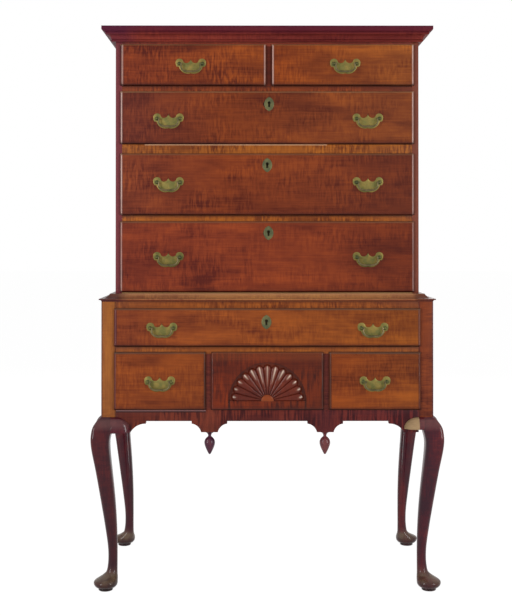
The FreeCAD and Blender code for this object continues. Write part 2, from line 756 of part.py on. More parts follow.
def all_drawers():
    divider = DIVIDER_WIDTH / 2
    top_left = TOP_DIVIDER_SHIFT - divider
    top_right = TOP_DIVIDER_SHIFT + divider
    small_left = -LOWER_DIVIDER_CENTRE - divider
    small_right = LOWER_DIVIDER_CENTRE + divider
    middle_left = divider - LOWER_DIVIDER_CENTRE
    middle_right = LOWER_DIVIDER_CENTRE - divider
    upper = (UPPER_FRONT, UPPER_BACK_INNER)
    lower = (LOWER_FRONT, LOWER_BACK_INNER)
    upper_pull = UPPER_INNER - UPPER_PULL_INSET
    pair = (UPPER_PULL_SHIFT - upper_pull, UPPER_PULL_SHIFT + upper_pull)
    long_pull = POST_INNER - LONG_PULL_INSET
    top_pull_left = (top_left - UPPER_INNER) / 2 - TOP_PULL_OUTWARD
    top_pull_right = (top_right + UPPER_INNER) / 2 + TOP_PULL_OUTWARD
    small = (SMALL_OPENING_BOTTOM, SMALL_OPENING_TOP)
    rows = [
        Drawer("top_left", -UPPER_INNER, top_left, TOP_OPENING_BOTTOM, TOP_OPENING_TOP, *upper,
               (top_pull_left,), TOP_PULL_DROP, None),
        Drawer("top_right", top_right, UPPER_INNER, TOP_OPENING_BOTTOM, TOP_OPENING_TOP, *upper,
               (top_pull_right,), TOP_PULL_DROP, None),
        Drawer("second", -UPPER_INNER, UPPER_INNER, SECOND_OPENING_BOTTOM, SECOND_OPENING_TOP, *upper,
               pair, SECOND_PULL_DROP, SECOND_KEY_SHIFT, SECOND_KEY_DROP),
        Drawer("third", -UPPER_INNER, UPPER_INNER, THIRD_OPENING_BOTTOM, THIRD_OPENING_TOP, *upper,
               pair, THIRD_PULL_DROP, 0.0, UPPER_KEY_DROP),
        Drawer("fourth", -UPPER_INNER, UPPER_INNER, FOURTH_OPENING_BOTTOM, FOURTH_OPENING_TOP, *upper,
               pair, LOW_PULL_DROP, FOURTH_KEY_SHIFT, UPPER_KEY_DROP),
        Drawer("lower_long", -POST_INNER, POST_INNER, LONG_OPENING_BOTTOM, LONG_OPENING_TOP, *lower,
               (-long_pull, long_pull), LOW_PULL_DROP, LONG_KEY_SHIFT, LONG_KEY_DROP),
        Drawer("lower_left", -POST_INNER, small_left, *small, *lower,
               ((small_left - POST_INNER) / 2,), LOW_PULL_DROP, None),
        Drawer("lower_centre", middle_left, middle_right, *small, *lower, (), 0.0, None),
        Drawer("lower_right", small_right, POST_INNER, *small, *lower,
               ((small_right + POST_INNER) / 2,), LOW_PULL_DROP, None),
    ]
    return {drawer.name: drawer for drawer in rows}


def tails(drawer, side, shoulder, direction, low, high, length):
    """Dovetails on the end of a drawer side, pointing towards -Y or +Y."""
    x = drawer.left + SIDE_GAP
    if side > 0:
        x = drawer.right - SIDE_GAP - DRAWER_SIDE
    count = max(2, round((high - low) / TAIL_PITCH))
    pitch = (high - low) / count
    shapes = []
    for index in range(count):
        middle = low + pitch * (index + 0.5)
        root = pitch * 0.28
        tip = root + length * TAIL_SLOPE
        path = [
            V(x, shoulder, middle - root),
            V(x, shoulder + direction * length, middle - tip),
            V(x, shoulder + direction * length, middle + tip),
            V(x, shoulder, middle + root),
        ]
        shapes.append(pushed(path, V(DRAWER_SIDE, 0, 0)))
    return shapes


def drawer_box(drawer):
    """Two sides, the back and the bottom, and the tails that enter the front."""
    inner_left = drawer.left + SIDE_GAP + DRAWER_SIDE
    inner_right = drawer.right - SIDE_GAP - DRAWER_SIDE
    board_low = drawer.side_bottom + DRAWER_BOTTOM_LIFT
    bottom = box(
        inner_left - DRAWER_GROOVE, inner_right + DRAWER_GROOVE,
        drawer.inside - DRAWER_GROOVE, drawer.back, board_low, drawer.bottom_top,
    )
    shoulder = drawer.back - DRAWER_SIDE
    back_high = drawer.side_top - DRAWER_BACK_DROP
    back = box(
        drawer.left + SIDE_GAP, drawer.right - SIDE_GAP, shoulder, drawer.back, drawer.bottom_top, back_high
    )
    sides = []
    front_tails = []
    for side in (-1, 1):
        x = drawer.left + SIDE_GAP if side < 0 else inner_right
        board = box(x, x + DRAWER_SIDE, drawer.inside, shoulder, drawer.side_bottom, drawer.side_top)
        fore = tails(drawer, side, drawer.inside, -1, drawer.side_bottom, drawer.side_top, TAIL_LENGTH)
        rear = tails(drawer, side, shoulder, 1, drawer.bottom_top, back_high, DRAWER_SIDE)
        back = back.cut(rear)
        sides.append(one_solid(board.fuse(fore + rear).cut(bottom)))
        front_tails += fore
    return [sides[0], sides[1], back.Solids[0], bottom], front_tails


def drawer_front(drawer, cutters):
    """A lipped front with a moulded border, cut for its joints and its brass."""
    lip_back = drawer.face - LIP_CLEARANCE
    lip_front = lip_back - LIP_THICKNESS
    low = drawer.bottom + BOTTOM_GAP
    high = drawer.top + LIP
    slab = box(drawer.left - LIP, drawer.right + LIP, lip_front, lip_back, low, high)
    rim = [edge for edge in slab.Edges if abs(edge.CenterOfMass.y - lip_front) < 1e-6]
    slab = slab.makeFillet(min(LIP_ROUND, LIP_THICKNESS * 0.98), rim)
    border = FIELD_BORDER
    field = box(
        drawer.left - LIP + border, drawer.right + LIP - border,
        drawer.field, lip_back, low + border, high - border,
    )
    body = box(
        drawer.left + SIDE_GAP, drawer.right - SIDE_GAP,
        lip_back, drawer.inside, low, drawer.body_top,
    )
    front = one_solid(slab.fuse([field, body]))
    return front.cut(cutters).Solids[0]


def fan_recess(drawer):
    """What is carved away round the fan: the arch, less its lobes and hub, and a shallow band."""
    base = drawer.bottom + BOTTOM_GAP + FAN_BASE
    band_foot = drawer.bottom + BOTTOM_GAP + FIELD_BORDER
    start = drawer.field - 1
    floor = drawer.field + FAN_RECESS
    disc = Part.makeCylinder(FAN_RADIUS, floor - start, V(0, start, base), V(0, 1, 0))
    arch = disc.common(box(-FAN_RADIUS, FAN_RADIUS, start, floor, base, base + FAN_RADIUS))
    band = box(-FAN_RADIUS, FAN_RADIUS, start, drawer.field + FAN_BAND_STEP, band_foot, base)
    return [arch.cut(fan_lobes(V(0, floor, base))), band]


def fan_lobes(root):
    """Rounded lobes that spread from a half-round hub, each the cap of a leaning cone."""
    spread = math.pi / FAN_LOBES
    slope = math.tan(spread / 2) * FAN_LOBE_OVERLAP
    reach = FAN_LOBE_REACH / (1 + slope)
    half_width = reach * slope
    radius = (half_width ** 2 + FAN_LOBE_HEIGHT ** 2) / (2 * FAN_LOBE_HEIGHT)
    sunk = V(0, radius - FAN_LOBE_HEIGHT, 0)
    shapes = []
    for index in range(FAN_LOBES):
        angle = spread * (index + 0.5)
        way = V(math.cos(angle), 0, math.sin(angle)) * reach + sunk
        shapes.append(Part.makeCone(0.0, radius, way.Length, root, way))
        shapes.append(Part.makeSphere(radius, root + way))
    hub_start = root - V(0, FAN_HUB_HEIGHT, 0)
    shapes.append(Part.makeCylinder(FAN_HUB_RADIUS, FAN_HUB_HEIGHT * 2, hub_start, V(0, 1, 0)))
    return shapes


# ---- Brass pulls, escutcheons and locks ------------------------------------------------
def pull_plate(drawer, x):
    """A bat-wing backplate: a peak between two wings above a round belly."""
    z = drawer.pull_height
    wing = PLATE_WING
    top = PLATE_TOP
    foot_drop = -PLATE_FOOT

    def half(side):
        def at(across, up):
            return V(x + side * across, drawer.field, z + up)

        return [
            at(0, top * 0.93),
            (at(wing * 0.11, top * 0.50), at(wing * 0.34, top * 0.36)),
            (at(wing * 0.46, top * 0.48), at(wing * 0.53, top * 0.76)),
            (at(wing * 0.78, top), at(wing, top * 0.43)),
            at(wing * 0.93, foot_drop * 0.13),
            at(wing * 0.77, foot_drop * 0.20),
            (at(wing * 0.52, foot_drop * 0.84), at(0, foot_drop)),
        ]

    path = half(1) + backwards(half(-1))[1:]
    holes = [post_hole(drawer, x + side * POST_SPACING / 2) for side in (-1, 1)]
    return pushed(path, V(0, -PLATE_THICKNESS, 0)).cut(holes).Solids[0]


def post_hole(drawer, x):
    """The way of a post through its plate, the drawer front and its nut."""
    start = drawer.field - PLATE_THICKNESS
    length = drawer.inside + NUT_THICKNESS - start
    z = drawer.pull_height + PULL_RISE
    return Part.makeCylinder(POST_SHANK / 2 + POST_HOLE_CLEARANCE, length, V(x, start, z), V(0, 1, 0))


def bail_axis(drawer):
    """Y and Z of the line that a bail turns about."""
    return drawer.field - PLATE_THICKNESS - POST_REACH, drawer.pull_height + PULL_RISE


def pull_post(drawer, x):
    """A turned post with a round head, drilled across for the bail."""
    y, z = bail_axis(drawer)
    plate_front = drawer.field - PLATE_THICKNESS
    end = drawer.inside + NUT_THICKNESS + NUT_STANDOFF
    shank = POST_SHANK / 2
    collar = POST_COLLAR / 2
    neck = POST_NECK / 2
    head = POST_HEAD / 2
    neck_end = y + math.sqrt(head * head - neck * neck)

    def at(radius, depth):
        return V(x + radius, depth, z)

    collar_front = plate_front - POST_COLLAR_THICKNESS
    path = [
        at(0, end),
        at(shank, end),
        at(shank, plate_front),
        at(collar, plate_front),
        at(collar, plate_front - POST_COLLAR_THICKNESS * 0.4),
        (at(collar * 0.80, plate_front - POST_COLLAR_THICKNESS * 0.85), at(neck, collar_front)),
        at(neck, neck_end),
        (at(head, y), at(0, y - head)),
    ]
    body = turned(path, V(x, y, z), V(0, 1, 0))
    radius = BAIL_PIN / 2 + BAIL_PIN_CLEARANCE
    hole = Part.makeCylinder(radius, POST_HEAD, V(x - head, y, z), V(1, 0, 0))
    return body.cut(hole).Solids[0]


def pull_nut(drawer, x):
    half = NUT_SIZE / 2
    z = drawer.pull_height + PULL_RISE
    nut = box(x - half, x + half, drawer.inside, drawer.inside + NUT_THICKNESS, z - half, z + half)
    return nut.cut(post_hole(drawer, x)).Solids[0]


def bail(drawer, x):
    """The swinging handle: a bent wire with a pin at each end."""
    y, z = bail_axis(drawer)
    half_path = (
        (BAIL_ARM, 0),
        (BAIL_ARM * 1.07, -BAIL_DROP * 0.34),
        (BAIL_ARM * 0.98, -BAIL_DROP * 0.69),
        (BAIL_ARM * 0.70, -BAIL_DROP * 0.93),
        (BAIL_ARM * 0.33, -BAIL_DROP),
    )
    points = [V(x - across, y, z + up) for across, up in half_path]
    points += [V(x + across, y, z + up) for across, up in reversed(half_path)]
    curve = Part.BSplineCurve()
    curve.interpolate(points)
    spine = Part.Wire([curve.toShape()])
    start = curve.value(curve.FirstParameter)
    tangent = curve.tangent(curve.FirstParameter)[0]
    ring = Part.Wire([Part.Circle(start, tangent, BAIL_WIRE / 2).toShape()])
    wire = spine.makePipeShell([ring], True, True)
    shapes = []
    pin_end = POST_SPACING / 2 + POST_HEAD / 2 - BAIL_PIN_SHORT
    for side in (-1, 1):
        elbow = V(x + side * BAIL_ARM, y, z)
        shapes.append(Part.makeSphere(BAIL_WIRE * 0.56, elbow))
        shapes.append(Part.makeCylinder(BAIL_PIN / 2, pin_end - BAIL_ARM, elbow, V(side, 0, 0)))
    return one_solid(wire.fuse(shapes))


def keyhole(drawer, start, end):
    """A round hole with a slot below it, along Y."""
    x = drawer.key
    z = drawer.key_height
    round_part = Part.makeCylinder(KEYHOLE_RADIUS, end - start, V(x, start, z), V(0, 1, 0))
    half = KEYHOLE_SLOT / 2
    slot = box(x - half, x + half, start, end, z - KEYHOLE_DROP, z)
    return round_part.fuse(slot)


def escutcheon(drawer):
    """A pointed oval plate round the keyhole."""
    x = drawer.key
    z = drawer.key_height - KEYHOLE_DROP / 3
    y = drawer.field
    top = V(x, y, z + ESCUTCHEON_HEIGHT / 2)
    foot_point = V(x, y, z - ESCUTCHEON_HEIGHT / 2)
    right = V(x + ESCUTCHEON_WIDTH / 2, y, z)
    left = V(x - ESCUTCHEON_WIDTH / 2, y, z)
    plate = pushed([top, (right, foot_point), (left, top)], V(0, -PLATE_THICKNESS, 0))
    return plate.cut(keyhole(drawer, y - PLATE_THICKNESS, y)).Solids[0]


def lock_block(drawer):
    """The space that the lock takes in the back of the drawer front."""
    half = LOCK_WIDTH / 2
    return box(
        drawer.key - half, drawer.key + half,
        drawer.inside - LOCK_THICKNESS, drawer.inside,
        drawer.body_top - LOCK_HEIGHT, drawer.body_top,
    )


def bolt_space(drawer, margin, low, high):
    half = BOLT_WIDTH / 2 + margin
    depth = BOLT_THICKNESS / 2 + margin
    return box(drawer.key - half, drawer.key + half, drawer.bolt_y - depth, drawer.bolt_y + depth, low, high)


def lock_case(drawer):
    floor = drawer.body_top - BOLT_TOP_GAP - BOLT_LENGTH - BOLT_CLEARANCE
    channel = bolt_space(drawer, BOLT_CLEARANCE, floor, drawer.body_top)
    front = drawer.inside - LOCK_THICKNESS
    return lock_block(drawer).cut([channel, keyhole(drawer, front, front + KEYHOLE_IN_LOCK)]).Solids[0]


def lock_bolt(drawer):
    high = drawer.body_top - BOLT_TOP_GAP
    return bolt_space(drawer, 0, high - BOLT_LENGTH, high)


def bolt_mortise(drawer):
    """The hole in the rail above that the bolt enters."""
    depth = BOLT_THROW + BOLT_MORTISE_MARGIN
    return bolt_space(drawer, BOLT_MORTISE_MARGIN, drawer.top, drawer.top + depth)


DRAWERS = all_drawers()


# ---- Files -----------------------------------------------------------------------
def write(name, shapes):
    """One STEP file per sub-part."""
    solids = [solid for shape in shapes for solid in shape.Solids]
    for solid in solids:
        if not solid.isValid() or solid.Volume <= 0:
            raise ValueError(name + " has a solid that is not sound")
    whole = solids[0] if len(solids) == 1 else Part.makeCompound(solids)
    whole.exportStep(os.path.join("parts", name + ".step"))


def write_drawer(drawer):
    """Front, box, brass and lock of one drawer."""
    boards, front_tails = drawer_box(drawer)
    cutters = front_tails + [boards[3]]
    brass = []
    for index, x in enumerate(drawer.pulls):
        brass.append(pull_plate(drawer, x))
        for side in (-1, 1):
            post_x = x + side * POST_SPACING / 2
            brass.append(pull_post(drawer, post_x))
            brass.append(pull_nut(drawer, post_x))
            cutters.append(post_hole(drawer, post_x))
        write(bail_name(drawer, index), [bail(drawer, x)])
    if drawer.key is not None:
        brass.append(escutcheon(drawer))
        brass.append(lock_case(drawer))
        cutters.append(lock_block(drawer))
        cutters.append(keyhole(drawer, drawer.field, drawer.inside))
        write("lock_bolt_" + drawer.name, [lock_bolt(drawer)])
    if brass:
        write("brasses_" + drawer.name, brass)
    if drawer.name == "lower_centre":
        cutters += fan_recess(drawer)
    write("drawer_front_" + drawer.name, [drawer_front(drawer, cutters)])
    write("drawer_box_" + drawer.name, boards)


def bail_name(drawer, index):
    name = "bail_" + drawer.name
    if len(drawer.pulls) == 2:
        name += ("_left", "_right")[index]
    return name


def main():
    os.makedirs("parts", exist_ok=True)
    leg = corner_leg()
    write("rear_right_leg", [leg])
    write("rear_left_leg", [mirror_x(leg)])
    write("front_right_leg", [mirror_y(leg)])
    write("front_left_leg", [mirror_x(mirror_y(leg))])
    write("front_apron", front_apron())
    write("drop_pendants", drop_pendants())
    write("knee_blocks", knee_blocks(leg))
    write("lower_side_panels", lower_side_panels())
    write("lower_back_board", lower_back_board())
    write("lower_drawer_blades", lower_drawer_blades())
    write("drawer_runners", drawer_runners())
    write("waist_moulding", waist_moulding())
    write("upper_right_side", [upper_side()])
    write("upper_left_side", [mirror_x(upper_side())])
    write("upper_top_and_bottom_boards", upper_boards())
    write("upper_back_boards", upper_back_boards())
    write("upper_drawer_blades", upper_drawer_blades())
    write("cornice_moulding", cornice_moulding())
    for drawer in DRAWERS.values():
        write_drawer(drawer)


if __name__ == "__main__":
    main()
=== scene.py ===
import math
import random

import bmesh
import bpy
from bpy.props import FloatProperty, FloatVectorProperty, IntProperty, PointerProperty
from mathutils import Matrix, Vector


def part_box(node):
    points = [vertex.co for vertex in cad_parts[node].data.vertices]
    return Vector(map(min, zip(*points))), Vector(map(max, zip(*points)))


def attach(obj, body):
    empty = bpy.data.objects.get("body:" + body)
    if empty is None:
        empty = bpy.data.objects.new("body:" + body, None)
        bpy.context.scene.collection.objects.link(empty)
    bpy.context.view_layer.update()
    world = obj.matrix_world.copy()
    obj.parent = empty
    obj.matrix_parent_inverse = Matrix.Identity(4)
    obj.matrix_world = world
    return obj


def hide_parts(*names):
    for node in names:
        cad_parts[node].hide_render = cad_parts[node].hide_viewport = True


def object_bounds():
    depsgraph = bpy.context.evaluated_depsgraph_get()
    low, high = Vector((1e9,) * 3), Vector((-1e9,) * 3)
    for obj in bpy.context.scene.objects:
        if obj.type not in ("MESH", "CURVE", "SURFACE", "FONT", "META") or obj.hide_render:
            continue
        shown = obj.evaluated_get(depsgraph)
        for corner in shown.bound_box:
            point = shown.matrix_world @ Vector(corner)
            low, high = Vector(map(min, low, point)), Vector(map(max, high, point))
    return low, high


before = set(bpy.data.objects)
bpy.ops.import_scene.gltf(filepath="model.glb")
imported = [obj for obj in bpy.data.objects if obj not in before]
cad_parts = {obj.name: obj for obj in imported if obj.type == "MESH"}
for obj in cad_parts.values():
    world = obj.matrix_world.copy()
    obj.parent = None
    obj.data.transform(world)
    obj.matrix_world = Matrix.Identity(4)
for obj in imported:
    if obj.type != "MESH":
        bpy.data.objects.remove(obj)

bl_info = {
    "name": "Highboy",
    "version": (1, 0, 0),
    "blender": (4, 5, 0),
    "location": "3D View > Sidebar > Highboy",
    "description": "Dresses the frame of a highboy with carved, turned and polished pieces",
    "category": "Object",
}

MM = 0.001
CASE_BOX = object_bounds()
DRAWERS = ("top_left", "top_right", "second", "third", "fourth",
           "lower_long", "lower_left", "lower_centre", "lower_right")
CORNERS = {"front_left": (-1, -1), "front_right": (1, -1), "rear_left": (-1, 1), "rear_right": (1, 1)}
# These are in millimetres.
SIDE = 507.5  # Half the width of the lower case.
FACE = -255.0  # Its front.
POST = 45.0  # Width of a leg's square post.
UNDERSIDE = 483.0  # Foot of the apron's plinths and of the knee blocks.
KEY_DROPS = {"second": 36.0, "third": 33.0, "fourth": 33.0, "lower_long": 38.5}  # From the top of the front.
# These are in metres.
RECESS = 0.027  # From the foot of the centre drawer's front up to that of its carving.
MERGE = 0.00001  # Points nearer than this become one.
VERT, EDGE, FACET = bmesh.types.BMVert, bmesh.types.BMEdge, bmesh.types.BMFace


# ---- Colours and nodes -------------------------------------------------------------
def tone(code):
    """A colour written as sRGB hex, in the linear values that sockets hold."""
    channels = [int(code[i:i + 2], 16) / 255 for i in (1, 3, 5)]
    linear = [c / 12.92 if c <= 0.04045 else ((c + 0.055) / 1.055) ** 2.4 for c in channels]
    return (*linear, 1.0)


def tinted(colour, *shares):
    """A colour times a share for red, green and blue each, or times one share for all its light."""
    red, green, blue = shares if len(shares) == 3 else shares * 3
    return (colour[0] * red, colour[1] * green, colour[2] * blue, 1.0)


def feed(tree, target, inputs):
    """Set sockets of a node, and link those that another node feeds."""
    for socket, value in inputs.items():
        if isinstance(value, bpy.types.Node):
            value = next(out for out in value.outputs if out.enabled)
        if isinstance(value, bpy.types.NodeSocket):
            tree.links.new(value, target.inputs[socket])
        else:
            target.inputs[socket].default_value = value


def node(tree, kind, inputs=None, stops=None, **settings):
    """Add a shader node with its settings and links, and the stops of its ramp."""
    new = tree.nodes.new("ShaderNode" + kind)
    for name, value in settings.items():
        setattr(new, name, value)
    feed(tree, new, inputs or {})
    if stops:
        ramp = new.color_ramp
        while len(ramp.elements) < len(stops):
            ramp.elements.new(1.0)
        for element, (place, colour) in zip(ramp.elements, stops):
            element.position = place
            element.color = colour
    return new


MIXED = {"data_type": "RGBA"}
SHADED = {"data_type": "RGBA", "blend_type": "MULTIPLY"}


def blended(tree, ground, colour, value, start, end, share=1.0, mode=MIXED):
    """The ground with a colour over it, up to a share, as a pattern's value goes from start to end."""
    part = node(tree, "MapRange", {"Value": value, "From Min": start, "From Max": end, "To Max": share})
    return node(tree, "Mix", {0: part, 6: ground, 7: colour}, **mode)


def new_material(name):
    material = bpy.data.materials.new(name)
    material.use_nodes = True
    tree = material.node_tree
    return material, tree, tree.nodes["Principled BSDF"]


# ---- Sizes and colours that a user may change ----------------------------------------
class HighboyLegs(bpy.types.PropertyGroup):
    knee_projection: FloatProperty(
        name="Knee projection", description="Knee beyond the faces of the lower case",
        default=0.0305, min=0.02, max=0.05, unit="LENGTH")
    foot_diameter: FloatProperty(
        name="Foot diameter", description="Width of the round pad foot",
        default=0.073, min=0.05, max=0.09, unit="LENGTH")
    pad_diameter: FloatProperty(
        name="Pad diameter", description="Width of the flat disc under the foot",
        default=0.044, min=0.03, max=0.06, unit="LENGTH")


class HighboyBrass(bpy.types.PropertyGroup):
    plate_thickness: FloatProperty(
        name="Plate thickness", description="Cast thickness of backplates and escutcheons",
        default=0.0016, min=0.001, max=0.003, unit="LENGTH")
    plate_bevel: FloatProperty(
        name="Filed edge", description="Width of the filed bevel round a backplate",
        default=0.0016, min=0.0004, max=0.003, unit="LENGTH")
    post_spacing: FloatProperty(
        name="Post spacing", description="Between the two posts of a pull",
        default=0.071, min=0.06, max=0.08, unit="LENGTH")
    bail_wire: FloatProperty(
        name="Bail thickness", description="Thickness of a bail at its arms",
        default=0.0040, min=0.003, max=0.006, unit="LENGTH")
    bail_swell: FloatProperty(
        name="Bail swell", description="Extra thickness of a bail at the middle of its grip",
        default=0.0014, min=0.0, max=0.003, unit="LENGTH")


class HighboyCarving(bpy.types.PropertyGroup):
    lobes: IntProperty(
        name="Fan lobes", description="Number of lobes in the carved fan", default=13, min=7, max=21)
    lobe_height: FloatProperty(
        name="Lobe height", description="Height of a lobe over the floor of the fan",
        default=0.0078, min=0.003, max=0.008, unit="LENGTH")


class HighboyColours(bpy.types.PropertyGroup):
    leg: FloatVectorProperty(
        name="Legs", description="Dark shellacked maple of the legs",
        default=tone("#3f0b17"), size=4, min=0, max=1, subtype="COLOR")
    pine: FloatVectorProperty(
        name="Inner wood", description="Unfinished pine inside the cases",
        default=tone("#b48c5c"), size=4, min=0, max=1, subtype="COLOR")
    brass: FloatVectorProperty(
        name="Brass", description="Dull brass of the pulls",
        default=tone("#84733f"), size=4, min=0, max=1, subtype="COLOR")


# ---- Finishes ----------------------------------------------------------------------
GRAIN_TURN = {"X": (0, 0, 0), "Y": (0, 0, -math.pi / 2), "Z": (0, math.pi / 2, 0)}


def grain(tree, along, start):
    """The place of a point, and that place turned to the grain and moved on for each board."""
    place = node(tree, "TexCoord").outputs["Object"]
    board = node(tree, "Attribute", attribute_name="board").outputs["Vector"]
    moved = node(tree, "VectorMath", {0: board, 1: (3.7, 1.9, 2.3), 2: place}, operation="MULTIPLY_ADD")
    way = node(tree, "Mapping", {"Vector": moved, "Location": start, "Rotation": GRAIN_TURN[along]})
    return place, way


def maple_figure(tree, along, seed, curl=0.6, curl_length=40):
    """Curly maple with its grain along one axis: its place, its patterns, and how pale it is round 0."""
    place, way = grain(tree, along, (seed * 1.37, seed * 0.71, seed * 0.53))
    # Patches 330 mm long, clouds 46 mm, curl every 6.5 mm, streaks 5 mm high. The pores of maple are 0.1 mm
    # wide and are drawn 2.6 mm apart, so that they show.
    sizes = {
        "patch": (330, 85, 85, 3.0, 0.7),
        "cloud": (46, 22, 22, 2.0, 0.4),
        "show": (150, 75, 75, 2.0, 0.4),
        "curl": (6.5, curl_length, curl_length, 1.0, 0.5),
        "streak": (150, 5, 5, 2.0, 0.3),
        "pore": (60, 2.6, 2.6, 2.0, 0.2),
    }
    figure = dict(zip("XYZ", node(tree, "SeparateXYZ", {"Vector": place}).outputs), place=place)
    for name, (x, y, z, detail, bend) in sizes.items():
        spread = node(tree, "Mapping", {"Vector": way, "Scale": (1000 / x, 1000 / y, 1000 / z)})
        figure[name] = node(tree, "TexNoise", {
            "Vector": spread, "Scale": 1.0, "Detail": detail, "Distortion": bend}).outputs["Fac"]
    shown = node(tree, "MapRange", {
        "Value": figure["show"], "From Min": 0.40, "From Max": 0.62,
        "To Min": 0.03 * curl, "To Max": 0.30 * curl})
    bands = node(tree, "MapRange", {
        "Value": figure["curl"], "From Min": 0.64, "From Max": 0.36, "To Min": -1.0})
    # The last number brings the sum of the patterns to 0 on average.
    value = node(tree, "Math", {0: bands, 1: shown, 2: -1.21}, operation="MULTIPLY_ADD")
    for name, share in (("patch", 1.35), ("cloud", 0.40), ("streak", 0.42), ("pore", 0.25)):
        value = node(tree, "Math", {0: figure[name], 1: share, 2: value}, operation="MULTIPLY_ADD")
    figure["value"] = value
    return figure


def maple_colour(tree, figure, pale, middle, dark, spread=0.5):
    """The wood's colour from its figure, between the tones of its dark and its pale patches."""
    value = node(tree, "Math", {0: figure["value"], 1: 0.5}, operation="ADD")
    return node(tree, "ValToRGB", {"Fac": value},
                stops=[(0.5 - spread, dark), (0.5, middle), (0.5 + spread, pale)])


def banded(tree, wood, value, start, end, stops, share=None):
    """Lines along a coordinate, of wear and dirt and also of painted shade and painted highlights: stops of
    (millimetres from the start, colour, strength).
    """
    reach = abs(end - start) / MM
    along = node(tree, "MapRange", {"Value": value, "From Min": start, "From Max": end})
    ramp = node(tree, "ValToRGB", {"Fac": along},
                stops=[(mm / reach, (*tone(colour)[:3], strength)) for mm, colour, strength in stops])
    strength = ramp.outputs["Alpha"]
    if share:
        strength = node(tree, "Math", {0: strength, 1: share}, operation="MULTIPLY")
    return node(tree, "Mix", {0: strength, 6: wood, 7: ramp.outputs["Color"]}, **MIXED)


def stripe(colour, strength, *places):
    """Stops of a line that fades in between its first two places and out between its last two."""
    return [(mm, colour, level) for mm, level in zip(places, (0.0, strength, strength, 0.0))]


def border(colour, strength, inner_strength, width, reach):
    """Stops of a tone along an edge, nearly even over its width and gone at its reach."""
    return [(0, colour, strength), (width, colour, inner_strength), (reach, colour, 0.0)]


def shellac(tree, shader, figure, wood, sheen=0.42, coat=0.22, gloss=0.18):
    """Old shellac over the wood: a soft shine under a thin clear one, uneven, that dips at the pores."""
    rough = node(tree, "MapRange", {
        "Value": figure["patch"], "From Min": 0.3, "From Max": 0.7,
        "To Min": sheen - 0.05, "To Max": sheen + 0.08})
    dips = node(tree, "Math", {0: figure["curl"], 1: 0.35, 2: figure["pore"]}, operation="MULTIPLY_ADD")
    bump = node(tree, "Bump", {"Height": dips, "Strength": 0.14, "Distance": 0.0010})
    feed(tree, shader, {
        "Base Color": wood, "Roughness": rough, "Normal": bump, "Specular IOR Level": 0.06,
        "Coat Weight": coat, "Coat Roughness": gloss, "Coat IOR": 1.45})


def curly_maple(name, code, along="X", seed=0, curl=0.6, curl_length=40, end=None, bands=(),
                coat=0.22, gloss=0.18, dry_above=None):
    """Shellacked curly maple: orange-brown with close darker bands across the grain, dull where it is dry.

    Its tone may turn to another at its right end. Bands are (axis, start, stop, stops), and may end with
    (axis, low, high), the part of the wood that they keep to.
    """
    material, tree, shader = new_material(name)
    figure = maple_figure(tree, along, seed, curl, curl_length)
    colour = tone(code)
    wood = maple_colour(tree, figure, tinted(colour, 1.55, 1.7, 1.3), colour, tinted(colour, 0.45, 0.33, 0.5))
    if end:
        change = (*(tone(end)[i] / max(colour[i], 1e-4) for i in range(3)), 1)
        other = node(tree, "Mix", {0: 1.0, 6: wood, 7: change}, **SHADED)
        wood = blended(tree, wood, other, figure["X"], CASE_BOX[0].x * 0.8, CASE_BOX[1].x * 0.8)
    for axis, start, stop, stops, *limits in bands:
        share = None
        for side, low, high in limits:
            after = node(tree, "Math", {0: figure[side], 1: low}, operation="GREATER_THAN")
            before = node(tree, "Math", {0: figure[side], 1: high}, operation="LESS_THAN")
            share = node(tree, "Math", {0: after, 1: before}, operation="MULTIPLY")
        wood = banded(tree, wood, figure[axis], start, stop, stops, share)
    shellac(tree, shader, figure, wood, coat=coat, gloss=gloss)
    if dry_above is not None:
        dry = node(tree, "Math", {0: figure["Z"], 1: dry_above}, operation="GREATER_THAN")
        rough = shader.inputs["Roughness"].links[0].from_socket
        feed(tree, shader, {"Roughness": node(tree, "Math", {0: rough, 1: dry}, operation="MAXIMUM")})
        if coat:
            feed(tree, shader, {
                "Coat Weight": node(tree, "MapRange", {"Value": dry, "To Min": coat, "To Max": 0.0})})
    return material


